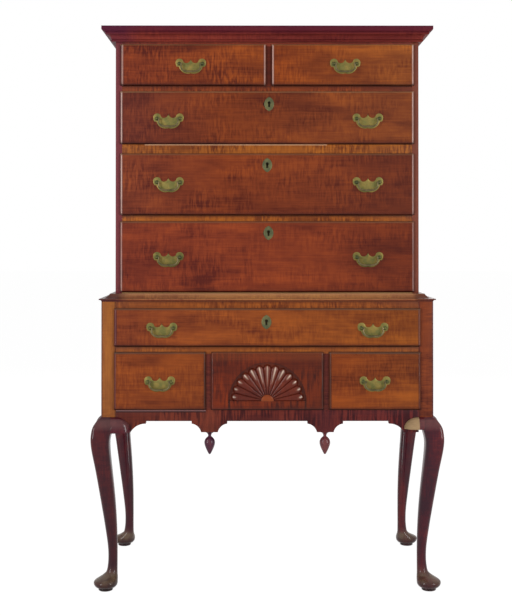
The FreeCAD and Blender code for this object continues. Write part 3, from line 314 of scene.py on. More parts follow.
def drawer_maple(drawer, look, seed):
    """Front of a drawer: patchy red-brown maple, some lips pale with wear and painted highlights, others dark
    with painted shade and dirt, and painted shade along its foot and in its keyhole.
    """
    low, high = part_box("drawer_front_" + drawer)
    material, tree, shader = new_material("front_maple_" + drawer)
    figure = maple_figure(tree, "X", seed, look["curl"], look.get("curl_length", 34))
    tones = [tone(code) for code in look["tones"]]
    places = (0.06, 0.92) if len(tones) == 2 else (0.06, 0.36, 0.92)
    across = node(tree, "MapRange", {"Value": figure["X"], "From Min": low.x, "From Max": high.x})
    ground = node(tree, "ValToRGB", {"Fac": across}, stops=list(zip(places, tones)))
    # Dark and pale patches as shares of the palest tone, and then back to the tones as written.
    shade = maple_colour(tree, figure, (1, 1, 1, 1), (0.62, 0.56, 0.75, 1), (0.28, 0.19, 0.40, 1), 0.38)
    wood = node(tree, "Mix", {0: 1.0, 6: ground, 7: shade}, **SHADED)
    wood = node(tree, "Mix", {0: 1.0, 6: wood, 7: (1 / 0.62, 1 / 0.56, 1 / 0.75, 1)}, **SHADED)
    rub_and_highlight = node(tree, "MapRange", {
        "Value": figure["show"], "From Min": 0.30, "From Max": 0.52, "To Min": 0.72})
    # Along the left, right and top lips and the foot: painted highlights and painted shade, with wear and
    # dirt, made patchy.
    edges = (("X", low.x, 20), ("X", high.x, -20), ("Z", high.z, -20), ("Z", low.z, 20))
    for (axis, start, reach), stops in zip(edges, (*look["lips"], FOOT_SHADE)):
        wood = banded(tree, wood, figure[axis], start, start + reach * MM, stops, rub_and_highlight)
    for axis, start, stop, stops, level in look.get("marks", ()):
        share = node(tree, "Math", {0: figure["Z"], 1: low.z + level}, operation="LESS_THAN")
        begin = {"X": 0.0, "Y": low.y, "Z": low.z}[axis]
        wood = banded(tree, wood, figure[axis], begin + start, begin + stop, stops, share)
    if drawer in KEY_DROPS:
        # Painted shade in the keyhole: the front is near black within 11 mm of the keyhole's middle, fading
        # out by 14 mm.
        flat = node(tree, "VectorMath", {0: figure["place"], 1: (1, 0, 1)}, operation="MULTIPLY")
        key = ((low.x + high.x) / 2, 0, high.z - (KEY_DROPS[drawer] + 4) * MM)
        away = node(tree, "VectorMath", {0: flat, 1: key}, operation="DISTANCE")
        wood = blended(tree, wood, tone("#0d0605"), away, 14 * MM, 11 * MM)
    shellac(tree, shader, figure, wood, coat=look.get("coat", 0.22))
    return material


def leg_maple(name, colour, seed):
    """Legs of dark maple under thick, glossy old shellac, rubbed grey-brown on the tops of the feet, darker
    towards the floor, with a painted highlight under the shoulders of the knees.
    """
    material, tree, shader = new_material(name)
    figure = maple_figure(tree, "Z", seed, 0.25, 30)
    wood = maple_colour(tree, figure, tinted(colour, 2.0, 2.6, 1.2), tuple(colour),
                        tinted(colour, 0.5, 0.8, 1.0), 0.28)
    # From the floor up: darker towards the floor and grey-brown wear on the top of the foot. From 490 mm over
    # it up to the top of the knee: a painted highlight, grey-mauve, under the shoulder.
    foot_wear = [(0, "#120a0a", 0.9), (9, "#1c0f0d", 0.85), (20, "#3a261c", 0.75), (32, "#625040", 0.88),
                 (44, "#665444", 0.88), (58, "#5a3f38", 0.35), (72, "#5a3f38", 0.0)]
    knee_highlight = [(0, "#6e4a48", 0.0), (16, "#6e4a48", 0.45), (30, "#6e4a48", 0.55), (38, "#5a3434", 0.1)]
    rub_and_highlight = node(tree, "MapRange", {
        "Value": figure["cloud"], "From Min": 0.38, "From Max": 0.58, "To Min": 0.45})
    cloud = node(tree, "MapRange", {
        "Value": figure["cloud"], "From Min": 0.35, "From Max": 0.6, "To Min": 0.72})
    wood = banded(tree, wood, figure["Z"], 0.0, 0.080, foot_wear, rub_and_highlight)
    wood = banded(tree, wood, figure["Z"], 0.490, 0.530, knee_highlight, cloud)
    shellac(tree, shader, figure, wood, 0.40, 0.45, 0.12)
    return material


def bare_maple(name, colour, seed):
    """Maple whose finish is worn off: dry and pale, with dirt in its pores."""
    material, tree, shader = new_material(name)
    figure = maple_figure(tree, "X", seed, 0.4, 20)
    wood = maple_colour(tree, figure, tinted(colour, 1.35), tuple(colour), tinted(colour, 0.45), 0.3)
    shellac(tree, shader, figure, wood, 0.5, 0.0)
    return material


def planed_pine(name, colour, along, seed, joints=()):
    """Unfinished pine gone brown with age: late wood in wavy lines 19 mm apart, coarse enough to show."""
    material, tree, shader = new_material(name)
    place, way = grain(tree, along, (seed * 1.1, seed * 0.7, seed * 0.4))
    stretched = node(tree, "Mapping", {"Vector": way, "Scale": (1 / 0.9, 1 / 0.11, 1 / 0.11)})
    bend = node(tree, "TexNoise", {"Vector": stretched, "Scale": 1.0})
    across = node(tree, "VectorMath", {0: way, 1: (0, 230, 330)}, operation="DOT_PRODUCT")
    rings = node(tree, "Math", {0: bend, 1: 42.0, 2: across}, operation="MULTIPLY_ADD")
    late = node(tree, "Math", {0: rings}, operation="SINE")
    wood = blended(tree, tuple(colour), tinted(colour, 0.55), late, -0.2, 1.0, 0.55)
    # Fibres 1.6 mm apart and stains 220 mm across.
    fibre_way = node(tree, "Mapping", {"Vector": way, "Scale": (1 / 0.08, 1 / 0.0016, 1 / 0.0016)})
    fibre = node(tree, "TexNoise", {"Vector": fibre_way, "Scale": 1.0})
    wood = blended(tree, wood, (0.72, 0.66, 0.6, 1), fibre, 0.42, 0.66, 0.5, SHADED)
    stain = node(tree, "TexNoise", {"Vector": place, "Scale": 1 / 0.22, "Detail": 3.0})
    wood = blended(tree, wood, (0.62, 0.52, 0.46, 1), stain, 0.38, 0.72, 0.6, SHADED)
    height = node(tree, "SeparateXYZ", {"Vector": place}).outputs["Z"]
    for level in joints:
        dirt_and_shade = stripe("#2c1c10", 0.75, 0, 3, 7, 10)
        wood = banded(tree, wood, height, level - 5 * MM, level + 5 * MM, dirt_and_shade)
    bump = node(tree, "Bump", {"Height": fibre, "Strength": 0.25, "Distance": 0.0008})
    feed(tree, shader, {"Base Color": wood, "Normal": bump, "Roughness": 0.75, "Specular IOR Level": 0.2})
    return material


def paint_crest_highlights(material, colour, share):
    """Painted highlights: pale colour along the crests of a carving, as strong as the mesh's attribute says.
    """
    tree = material.node_tree
    shader = tree.nodes["Principled BSDF"]
    wood = shader.inputs["Base Color"].links[0].from_socket
    wear_and_highlight = node(tree, "Attribute", attribute_name="rub_and_highlight").outputs["Fac"]
    part = node(tree, "Math", {0: wear_and_highlight, 1: share}, operation="MULTIPLY")
    feed(tree, shader, {"Base Color": node(tree, "Mix", {0: part, 6: wood, 7: colour}, **MIXED)})


def old_brass(name, colour, dull, polish):
    """Cast brass gone dull: olive tarnish over a yellow metal that shows where hands rub it."""
    material, tree, shader = new_material(name)
    place = node(tree, "TexCoord").outputs["Object"]
    # Clouds of tarnish 18 mm across, and pits 2.2 mm, larger than real ones so that they show.
    cloud = node(tree, "TexNoise", {"Vector": place, "Scale": 1 / 0.018, "Detail": 4.0})
    pits = node(tree, "TexNoise", {"Vector": place, "Scale": 1 / 0.0022, "Detail": 3.0})
    metal = blended(tree, tuple(colour), dull, cloud, 0.36, 0.62)
    metal = blended(tree, metal, tinted(dull, 0.45), pits, 0.58, 0.70, 0.5)
    rough = node(tree, "MapRange", {
        "Value": cloud, "From Min": 0.3, "From Max": 0.7, "To Min": polish - 0.06, "To Max": polish + 0.12})
    bump = node(tree, "Bump", {"Height": pits, "Strength": 0.25, "Distance": 0.0003})
    feed(tree, shader, {"Base Color": metal, "Roughness": rough, "Normal": bump, "Metallic": 1.0})
    return material


def filed_iron(name):
    """Dark iron of the bolts, with fine file marks across it, 0.6 mm apart."""
    material, tree, shader = new_material(name)
    place = node(tree, "TexCoord").outputs["Object"]
    way = node(tree, "Mapping", {"Vector": place, "Scale": (1 / 0.0006, 1 / 0.02, 1 / 0.02)})
    marks = node(tree, "TexNoise", {"Vector": way, "Scale": 1.0})
    iron = node(tree, "ValToRGB", {"Fac": marks}, stops=[(0.35, tone("#2c2a28")), (0.7, tone("#5a5650"))])
    bump = node(tree, "Bump", {"Height": marks, "Strength": 0.2, "Distance": 0.0003})
    feed(tree, shader, {"Base Color": iron, "Normal": bump, "Metallic": 1.0, "Roughness": 0.45})
    return material


# ---- Making pieces -----------------------------------------------------------------
def mesh_of(name, bm):
    mesh = bpy.data.meshes.new(name)
    bm.to_mesh(mesh)
    bm.free()
    return mesh


def add_object(name, data, place=(0, 0, 0), turn=(0, 0, 0)):
    """Put a mesh, a lamp or the camera into the scene."""
    made = bpy.data.objects.new(name, data)
    made.location = place
    made.rotation_euler = turn
    bpy.context.collection.objects.link(made)
    return made


def piece(name, bm, body, finishes, replaced=(), sharp=32):
    """Close a bmesh, turn its faces outwards and make it a piece that rides on a body."""
    bmesh.ops.remove_doubles(bm, verts=bm.verts, dist=MERGE)
    bmesh.ops.recalc_face_normals(bm, faces=bm.faces)
    mesh = mesh_of(name, bm)
    mesh.polygons.foreach_set("use_smooth", [True] * len(mesh.polygons))
    mesh.set_sharp_from_angle(angle=math.radians(sharp))
    for finish in finishes:
        mesh.materials.append(finish)
    made = add_object(name, mesh)
    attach(made, body)
    if replaced:
        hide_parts(*replaced)


def refinish(name, finish):
    """Give a node of the frame its material."""
    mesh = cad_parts[name].data
    if not mesh.materials:
        mesh.materials.append(finish)
    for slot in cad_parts[name].material_slots:
        slot.material = finish


def only(parts, kind):
    """The parts of one kind in what an operator gives back."""
    return [part for part in parts if isinstance(part, kind)]


def mark_new(bm, before, finish):
    """Give a finish to the faces that weren't there before."""
    for face in set(bm.faces) - before:
        face.material_index = finish


def cut_off(bm, point, way):
    """Cut away what lies past a plane and close the cut."""
    whole = bm.verts[:] + bm.edges[:] + bm.faces[:]
    cut = bmesh.ops.bisect_plane(bm, geom=whole, dist=1e-7, plane_co=point, plane_no=way, clear_outer=True)
    bmesh.ops.holes_fill(bm, edges=only(cut["geom_cut"], EDGE), sides=0)


def lofted(bm, outlines, closed=False):
    """Skin through outlines with the same number of points, by extruding the first one's edges."""
    count = len(outlines[0])
    layer = bm.verts.layers.int.get("station") or bm.verts.layers.int.new("station")
    start = bmesh.ops.create_circle(bm, cap_ends=False, segments=count, radius=1)["verts"]
    edges = list({edge for vert in start for edge in vert.link_edges})
    first_edges = edges
    for number, vert in enumerate(start):
        vert[layer] = number
        vert.co = outlines[0][number]
    for outline in outlines[1:]:
        grown = bmesh.ops.extrude_edge_only(bm, edges=edges)["geom"]
        edges = only(grown, EDGE)
        for vert in only(grown, VERT):
            vert.co = outline[vert[layer]]
    if not closed:
        bmesh.ops.holes_fill(bm, edges=first_edges, sides=0)
        bmesh.ops.holes_fill(bm, edges=edges, sides=0)


def turned(bm, profile, centre, axis=(0, 0, 1), steps=32, side=(1, 0, 0)):
    """Spin a profile of (radius, along) pairs, in millimetres, round an axis."""
    centre, axis, side = Vector(centre), Vector(axis), Vector(side)
    verts = [bm.verts.new(centre + side * radius * MM + axis * along * MM) for radius, along in profile]
    edges = [bm.edges.new(pair) for pair in zip(verts, verts[1:])]
    bmesh.ops.spin(bm, geom=verts + edges, cent=centre, axis=axis, dvec=(0, 0, 0),
                   angle=2 * math.pi, steps=steps, use_merge=True, use_duplicate=False)


def eased_edges(bm, edges, width):
    """Take the sharpness off edges, as a plane or a file does."""
    bmesh.ops.bevel(bm, geom=edges, offset=width, offset_type="OFFSET", segments=2,
                    profile=0.5, affect="EDGES", clamp_overlap=True, material=-1)


def block(bm, low, high, ease):
    """A board between two corners, with its edges eased."""
    made = bmesh.ops.create_cube(bm, size=1)["verts"]
    low, high = Vector(low), Vector(high)
    bmesh.ops.scale(bm, vec=high - low, verts=made)
    bmesh.ops.translate(bm, vec=(low + high) / 2, verts=made)
    eased_edges(bm, list({edge for vert in made for edge in vert.link_edges}), ease)


def arc(start, through, end, steps):
    """Points of the circle from one point through another to a third, without the first."""
    (ax, az), (bx, bz), (cx, cz) = start, through, end
    d = 2 * (ax * (bz - cz) + bx * (cz - az) + cx * (az - bz))
    a2, b2, c2 = ax * ax + az * az, bx * bx + bz * bz, cx * cx + cz * cz
    ux = (a2 * (bz - cz) + b2 * (cz - az) + c2 * (az - bz)) / d
    uz = (a2 * (cx - bx) + b2 * (ax - cx) + c2 * (bx - ax)) / d
    radius = math.hypot(ax - ux, az - uz)
    first = math.atan2(az - uz, ax - ux)
    middle = (math.atan2(bz - uz, bx - ux) - first) % (2 * math.pi)
    last = (math.atan2(cz - uz, cx - ux) - first) % (2 * math.pi)
    if middle > last:
        last -= 2 * math.pi
    angles = [first + last * k / steps for k in range(1, steps + 1)]
    return [(ux + radius * math.cos(angle), uz + radius * math.sin(angle)) for angle in angles]


def both_halves(half):
    """A closed outline from the half of it on one side of its middle."""
    return half + [(-x, z) for x, z in half[-2:0:-1]]


def eased(table, level):
    """A row of a table of (level, value, ...) rows, read smoothly between its rows."""
    rows = sorted(table)
    level = min(max(level, rows[0][0]), rows[-1][0])
    index = max(1, next(i for i, row in enumerate(rows) if row[0] >= level))
    a, b = rows[index - 1], rows[index]
    before = rows[index - 2] if index > 1 else a
    after = rows[index + 1] if index + 1 < len(rows) else b
    span = b[0] - a[0]
    t = (level - a[0]) / span
    values = []
    for k in range(1, len(a)):
        slope_a = (b[k] - before[k]) / (b[0] - before[0]) * span
        slope_b = (after[k] - a[k]) / (after[0] - a[0]) * span
        values.append((2 * t ** 3 - 3 * t ** 2 + 1) * a[k] + (t ** 3 - 2 * t ** 2 + t) * slope_a
                      + (3 * t ** 2 - 2 * t ** 3) * b[k] + (t ** 3 - t ** 2) * slope_b)
    return values


def islands(bm):
    """The faces of a bmesh in groups, one for each separate shell."""
    left = set(bm.faces)
    groups = []
    while left:
        waiting = [left.pop()]
        group = []
        while waiting:
            face = waiting.pop()
            group.append(face)
            for edge in face.edges:
                for other in edge.link_faces:
                    if other in left:
                        left.remove(other)
                        waiting.append(other)
        groups.append(group)
    return groups


def group_box(group):
    points = [vert.co for face in group for vert in face.verts]
    return [Vector([pick(p[i] for p in points) for i in range(3)]) for pick in (min, max)]


def boards_from(source, ease, finish_for=None, keep=None):
    """The boards of a node of the frame with their edges eased, each board with its own figure."""
    bm = bmesh.new()
    bm.from_mesh(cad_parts[source].data)
    bmesh.ops.remove_doubles(bm, verts=bm.verts, dist=MERGE)
    if keep:
        spare = [face for group in islands(bm) if not keep(*group_box(group)) for face in group]
        bmesh.ops.delete(bm, geom=spare, context="FACES")
    bmesh.ops.dissolve_limit(bm, angle_limit=math.radians(0.5), verts=bm.verts, edges=bm.edges)
    touching = {vert for edge in bm.edges if not edge.is_manifold for vert in edge.verts}
    sharp = [edge for edge in bm.edges if edge.is_manifold and touching.isdisjoint(edge.verts)
             and edge.calc_face_angle(0) > math.radians(30)]
    eased_edges(bm, sharp, ease)
    board = bm.faces.layers.float.new("board")
    draw = random.Random(source)
    for group in sorted(islands(bm), key=lambda g: tuple(round(v, 4) for v in group_box(g)[0])):
        number = draw.random()
        finish = finish_for(*group_box(group)) if finish_for else 0
        for face in group:
            face[board] = number
            face.material_index = finish
    return bm


def case_boards(name, source, finishes, ease=0.0008, finish_for=None):
    """One piece of the boards that a node of the case holds."""
    piece(name, boards_from(source, ease, finish_for), "case", finishes, (source,))


# ---- Legs ---------------------------------------------------------------------------
# Height, then the outside and the inside from the face of the case, then how round it is.
LEG_ROWS = (
    (529, 2.5, -44, 0.16), (519, 12.5, -43.6, 0.24), (501, 24.3, -37.5, 0.32), (481, 29.1, -31.5, 0.40),
    (456.6, 30.5, -27.3, 0.46), (424.5, 27.2, -28.1, 0.52), (372, 18.2, -32.7, 0.62),
    (316, 9.6, -38, 0.72), (255.6, 0.6, -42.6, 0.82), (191, -8.9, -45.6, 0.92),
    (127, -17, -46.6, 1.0), (88.9, -18.1, -46.6, 1.0), (63.5, -15.7, -46.6, 1.0), (51, -12.3, -46.8, 1.0),
    (45, -6, -47.3, 1.0), (42, -1.8, -47.8, 1.0), (39, 3, -48.3, 1.0), (36, 8.8, -48.8, 1.0),
    (33, 14.5, -49.1, 1.0), (30, 19.5, -49.3, 1.0), (27, 22.6, -49.3, 1.0), (23, 23.7, -49.3, 1.0),
    (16, 22, -47.6, 1.0), (10.5, 17.4, -43.0, 1.0),
)
KNEE, FOOT_WIDTH, FOOT_AXIS = 30.5, 73.0, -12.8


def leg_outline(level, outer, inner, roundness, count=40):
    """A square with rounded corners, as points round the axis of the front left leg; 1 is a circle."""
    half = (outer - inner) / 2
    shift = (outer + inner) / 2
    power = -math.log(2) / math.log(1 - 0.2929 * min(roundness, 1.0))
    centre = Vector((-SIDE - shift, FACE - shift, level))
    points = []
    for k in range(count):
        c, s = math.cos(2 * math.pi * k / count), math.sin(2 * math.pi * k / count)
        x = math.copysign(abs(c) ** (2 / power), c)
        y = math.copysign(abs(s) ** (2 / power), s)
        points.append((centre + Vector((x, y, 0)) * half) * MM)
    return points


def cabriole_leg(sizes):
    """Knee, ankle, pad foot and post of the front left leg; its post is the second finish."""
    bm = bmesh.new()
    knee = sizes.knee_projection / MM / KNEE
    foot = (sizes.foot_diameter / MM - FOOT_WIDTH) / 2
    levels = [529 - 3.5 * k for k in range(26)] + [436 - 8 * k for k in range(40)]
    levels += [114 - 4 * k for k in range(16)] + [52 - 1.8 * k for k in range(24)] + [10.5]
    outlines = []
    for level in levels:
        outer, inner, roundness = eased(LEG_ROWS, level)
        if outer > 0 and level > 200:
            outer *= knee
        if level < 60:
            outer += foot * (60 - level) / 40
        outlines.append(leg_outline(level, outer, inner, roundness))
    pad = sizes.pad_diameter / MM / 2
    for level, less in ((9.2, 2.2), (8.2, 1.8), (7.2, 0.3), (6.2, 0), (1.2, 0), (0, 1.2)):
        outlines.append(leg_outline(level, FOOT_AXIS + (pad - less), FOOT_AXIS - (pad - less), 1.0))
    lofted(bm, outlines)
    before = set(bm.faces)
    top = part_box("front_left_leg")[1].z
    post_foot = 516.5
    block(bm, Vector((-SIDE, FACE, post_foot)) * MM, ((POST - SIDE) * MM, (FACE + POST) * MM, top), 0.0012)
    mark_new(bm, before, 1)
    return bm


class HIGHBOY_OT_legs(bpy.types.Operator):
    """Four cabriole legs with pad feet, each in one piece with its post"""
    bl_idname = "highboy.legs"
    bl_label = "Legs"

    def execute(self, context):
        # The tone of each post, its curl, and how light the leg under it is.
        looks = {"front_left": ("#8d5225", 0.3, 0.78), "front_right": ("#6d3019", 0.8, 1.15),
                 "rear_left": ("#76371f", 0.8, 1.0), "rear_right": ("#6e331d", 0.8, 1.0)}
        front_only = ("Y", -1.0, (FACE + 0.4) * MM)
        for number, (corner, (side, end)) in enumerate(CORNERS.items()):
            code, curl, share = looks[corner]
            bm = cabriole_leg(context.scene.highboy_legs)
            bmesh.ops.transform(bm, matrix=Matrix.Diagonal((-side, -end, 1, 1)), verts=bm.verts)
            seam, edge = side * (SIDE - POST) * MM, side * SIDE * MM
            bands = [("X", seam, seam + side * 30 * MM, border("#3c1a1c", 0.7, 0.6, 2.5, 6), front_only),
                     ("X", edge, edge - side * 10 * MM, border("#3a1a2a", 0.7, 0.6, 2.5, 5), front_only)]
            finishes = [
                leg_maple("dark_shellacked_maple_" + corner, tinted(context.scene.highboy_colours.leg, share),
                          3 + number),
                curly_maple("post_maple_" + corner, code, "Z", 11 + number, curl, bands=bands),
            ]
            piece(corner + "_cabriole_leg", bm, "case", finishes, (corner + "_leg",), 40)
        return {"FINISHED"}


# ---- Knee blocks, pendants --------------------------------------------------------------
class HIGHBOY_OT_knee_blocks(bpy.types.Operator):
    """Rounded blocks that carry the knees on along the front and the sides"""
    bl_idname = "highboy.knee_blocks"
    bl_label = "Knee blocks"

    def execute(self, context):
        dark = leg_maple("knee_block_maple", tinted(context.scene.highboy_colours.leg, 1.25), 21)
        pale = bare_maple("worn_knee_block_maple", tone("#8e7557"), 22)
        half = Vector((44.5, 24.0, 46.0))
        behind_knee = 16
        places = [("front", corner) for corner in ("front_left", "front_right")]
        places += [("side", corner) for corner in CORNERS]
        for kind, corner in places:
            side, end = CORNERS[corner]
            wear_and_highlight = kind == "front" and side > 0
            bm = bmesh.new()
            bmesh.ops.create_uvsphere(bm, u_segments=48, v_segments=32, radius=1)
            bmesh.ops.scale(bm, vec=half * MM, verts=bm.verts)
            for way in ((1, 0, 0), (0, 1, 0), (0, 0, -1)):
                cut_off(bm, (0, 0, 0), way)
            knee_side = [f for f in bm.faces if f.normal.x > 0.99 and f.calc_center_median().x > -1e-5]
            grown = bmesh.ops.extrude_face_region(bm, geom=knee_side)["geom"]
            bmesh.ops.translate(bm, vec=(behind_knee * MM, 0, 0), verts=only(grown, VERT))
            bmesh.ops.delete(bm, geom=knee_side, context="FACES_ONLY")
            if wear_and_highlight:
                # This block has lost a strip along its foot, and only its own face is bare.
                bmesh.ops.scale(bm, vec=(1, 1, 0.76), verts=bm.verts)
                bmesh.ops.translate(bm, vec=(0, 0, 11 * MM), verts=bm.verts)
            for part in bm.faces:
                part.material_index = 1 if part.calc_center_median().x > 1e-4 else 0
            bmesh.ops.translate(bm, vec=Vector((SIDE - POST, FACE, UNDERSIDE)) * MM, verts=bm.verts)
            if kind == "side":
                for vert in bm.verts:
                    out, back = vert.co.x - SIDE * MM, vert.co.y - FACE * MM
                    vert.co.x, vert.co.y = SIDE * MM - back, FACE * MM - out
            bmesh.ops.transform(bm, matrix=Matrix.Diagonal((side, -end, 1, 1)), verts=bm.verts)
            piece("%s_%s_knee_block" % (corner, kind), bm, "case",
                  [pale if wear_and_highlight else dark, dark], ("knee_blocks",), 40)
        return {"FINISHED"}


class HIGHBOY_OT_pendants(bpy.types.Operator):
    """Two turned drops under the apron"""
    bl_idname = "highboy.pendants"
    bl_label = "Drop pendants"

    def execute(self, context):
        low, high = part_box("drop_pendants")
        finish = leg_maple("pendant_maple", tone("#4c1f31"), 31)
        widest = 16.5
        profile = [
            (0, 16), (5, 16), (5, 0.2), (13.2, 0.2), (14, -0.6), (14, -2.2), (13.3, -3.1), (10.2, -4.4),
            (7, -7.4), (5.1, -11), (4.8, -14), (5.4, -16.2), (8.5, -18.6), (12.4, -22.6), (15.2, -27.4),
            (widest, -32.6), (16.3, -37.6), (15, -43.6), (12.9, -49.6), (10.3, -55.8), (7.6, -61.2),
            (5.6, -65), (4.2, -67.8), (2.6, -70), (1.2, -70.9), (0, -71)]
        x, y = (high.x - low.x) / 2 - widest * MM, (low.y + high.y) / 2
        for name, side in (("left", -1), ("right", 1)):
            bm = bmesh.new()
            turned(bm, profile, (side * x, y, UNDERSIDE * MM), steps=40)
            piece(name + "_drop_pendant", bm, "case", [finish], ("drop_pendants",), 40)
        return {"FINISHED"}


# ---- Cases -------------------------------------------------------------------------
def under(level):
    """Painted shadow, with some dirt, along the top of a rail, under the lip of a drawer or a moulding."""
    return ("Z", level, level - 14 * MM, [
        (0, "#2c100b", 0.8), (2.5, "#2c100b", 0.7), (8, "#4a1c10", 0.25), (13, "#4a1c10", 0.0)])


def under_drawer(drawer):
    """The same, on the rail below a drawer."""
    return under(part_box("drawer_front_" + drawer)[0].z)


class HIGHBOY_OT_lower_case(bpy.types.Operator):
    """Apron, side boards, rails, dividers and back of the lower case"""
    bl_idname = "highboy.lower_case"
    bl_label = "Lower case"

    def execute(self, context):
        low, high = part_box("drawer_front_lower_left")
        seam = [(0, "#2a100f", 0.0), (1.5, "#2a100f", 0.9), (4.2, "#2a100f", 0.9), (5.4, "#8a6a6a", 0.6),
                (7.6, "#8a6a6a", 0.6), (9, "#5a2a28", 0.0)]
        # The left plinth is paler than the apron, and the right one darker.
        apron = curly_maple("apron_maple", "#572116", "X", 41, 2.8, 70, "#4e171a", [
            ("X", -0.221, -0.137, stripe("#7c3a26", 0.38, 0, 30, 54, 84)),
            ("X", 0.135, 0.219, stripe("#33121c", 0.36, 0, 30, 54, 84)),
            ("Z", low.z - 9 * MM, low.z + 11 * MM, seam, ("X", low.x, high.x))])
        case_boards("scalloped_apron", "front_apron", [apron])
        sides = curly_maple("lower_side_maple", "#6e3520", "Z", 43, 0.7, 60)
        case_boards("lower_side_boards", "lower_side_panels", [sides])
        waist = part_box("lower_drawer_blades")[1].z + 4 * MM
        rails = [
            curly_maple("lower_top_rail_maple", "#7a3d17", "X", 44, 1.3, 30, bands=[under(waist)]),
            curly_maple("lower_rail_maple", "#85461c", "X", 45, 1.0, 30, bands=[under_drawer("lower_long")]),
            curly_maple("lower_divider_maple", "#5c241a", "Z", 46, 0.9),
        ]

        def finish_for(low, high):
            """The dividers are narrow, and the top rail is the one over 0.8 m."""
            if high.x - low.x < 0.1:
                return 2
            return 0 if low.z > 0.8 else 1

        case_boards("lower_rails", "lower_drawer_blades", rails, 0.0006, finish_for)
        refinish("lower_back_board", planed_pine(
            "back_pine_lower", tinted(context.scene.highboy_colours.pine, 0.88), "X", 47,
            [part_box("lower_back_board")[1].z]))
        return {"FINISHED"}


class HIGHBOY_OT_upper_case(bpy.types.Operator):
    """Sides, rails, top, bottom and back of the upper case"""
    bl_idname = "highboy.upper_case"
    bl_label = "Upper case"

    def execute(self, context):
        pine = context.scene.highboy_colours.pine
        low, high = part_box("upper_left_side")
        for side, colour, seed in (("left", "#6d313c", 51), ("right", "#723e32", 52)):
            finish = curly_maple(
                "upper_%s_side_maple" % side, "#6e3520", "Z", seed, 0.7, 60,
                bands=[("Y", low.y, low.y + 16 * MM, border(colour, 0.78, 0.75, 3, 13))],
                dry_above=high.z - 0.2 * MM)
            case_boards("upper_%s_side_board" % side, "upper_%s_side" % side, [finish])
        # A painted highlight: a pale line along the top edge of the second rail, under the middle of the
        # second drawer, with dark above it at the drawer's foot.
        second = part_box("drawer_front_second")[0]
        rub_and_highlight = [(6, "#d8ab86", 0.0), (7, "#d8ab86", 0.7), (9.5, "#d8ab86", 0.7), (10.5, "#3a1a12", 0.8)]
        line = ("Z", second.z - 10 * MM, second.z + 10 * MM, rub_and_highlight, ("X", second.x + 0.076, 0.185))
        rails = [
            curly_maple("top_rail_maple", "#6e2c1f", "X", 53, 0.8),
            curly_maple("first_rail_maple", "#743318", "X", 54, 1.2, 30, bands=[under_drawer("top_left")]),
            curly_maple("second_rail_maple", "#8a4b1b", "X", 55, 1.2, 30, bands=[line]),
            curly_maple("third_rail_maple", "#8d4b19", "X", 56, 1.2, 30, bands=[under_drawer("third")]),
            curly_maple("top_divider_maple", "#4a1708", "Z", 57, 0.6),
        ]

        def finish_for(low, high):
            """The divider is narrow, and the rails are told apart by height, from the top one down."""
            if high.x - low.x < 0.1:
                return 4
            return next(i for i, level in enumerate((1.6, 1.5, 1.3, 1.0)) if low.z > level)

        case_boards("upper_rails", "upper_drawer_blades", rails, 0.0006, finish_for)
        low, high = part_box("upper_back_boards")
        joints = [low.z + (high.z - low.z) * k / 3 for k in range(4)]
        bm = bmesh.new()
        board = bm.faces.layers.float.new("board")
        for number, (foot, head) in enumerate(zip(joints, joints[1:])):
            before = set(bm.faces)
            block(bm, (low.x, low.y, foot), (high.x, high.y, head), 0.0012)
            for face in set(bm.faces) - before:
                face[board] = number * 0.37
        planks = planed_pine("back_pine_upper", pine, "X", 59, joints[:-1])
        piece("upper_back_planks", bm, "case", [planks], ("upper_back_boards",))
        refinish("upper_top_and_bottom_boards", planed_pine("case_pine", pine, "X", 58))
        refinish("drawer_runners", planed_pine("runner_pine", pine, "Y", 60))
        return {"FINISHED"}


class HIGHBOY_OT_mouldings(bpy.types.Operator):
    """Cornice and the moulding between the two cases"""
    bl_idname = "highboy.mouldings"
    bl_label = "Mouldings"

    def execute(self, context):
        low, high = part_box("cornice_moulding")
        top = [(0, "#3c152a", 0.85), (4, "#4e1a2c", 0.8), (14, "#50192a", 0.65), (19, "#481420", 0.6),
               (25, "#5a1e18", 0.0)]
        refinish("cornice_moulding", curly_maple("cornice_maple", "#6a2823", "X", 61, 0.9, 30, bands=[
            ("Z", high.z, high.z - 44 * MM, top),
            ("X", low.x, low.x + 120 * MM, border("#3c1834", 0.5, 0.4, 70, 120)),
        ], coat=0.0, dry_above=high.z - 0.2 * MM))
        low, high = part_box("waist_moulding")
        # Down the waist moulding: a painted highlight, pale tan, along its top edge, and painted shade, dark
        # red-brown, along its foot.
        top = [(0, "#98694a", 0.5), (2, "#a87a5a", 0.6), (5, "#9c6236", 0.2), (9, "#8a4f26", 0.0),
               (15, "#6c1a04", 0.0), (19, "#6c1a04", 0.75), (22, "#481408", 0.8)]
        left = [(0, "#34101f", 0.86), (58, "#3c1622", 0.72), (90, "#3c1622", 0.0)]
        right = [(0, "#4a1e22", 0.8), (56, "#4e2018", 0.66), (68, "#4e2018", 0.0)]
        refinish("waist_moulding", curly_maple("waist_maple", "#9d6943", "X", 62, 0.5, 30, bands=[
            ("Z", high.z, low.z, top),
            ("X", low.x, low.x + 90 * MM, left),
            ("X", high.x, high.x - 68 * MM, right),
        ]))
        return {"FINISHED"}


# ---- Drawers -----------------------------------------------------------------------
def bright_lip(share, start=2.4, width=3.4):
    """A lip pale with wear and a painted highlight, and outside it a dark line of painted shade."""
    dirt_and_shade, wear_and_highlight = "#34181a", "#c4a69c"
    return [(0, dirt_and_shade, 0.75), (start - 0.4, dirt_and_shade, 0.75), (start + 0.9, wear_and_highlight, share),
            (start + width, wear_and_highlight, share), (start + width + 2.4, wear_and_highlight, 0.0)]


def lip_dirt_and_light(colour, width, share=0.85):
    """A lip toned evenly over its width: where dark, painted shade with dirt and shellac; where pale, a
    painted highlight.
    """
    return border(colour, share, share, width, width + 2.5)


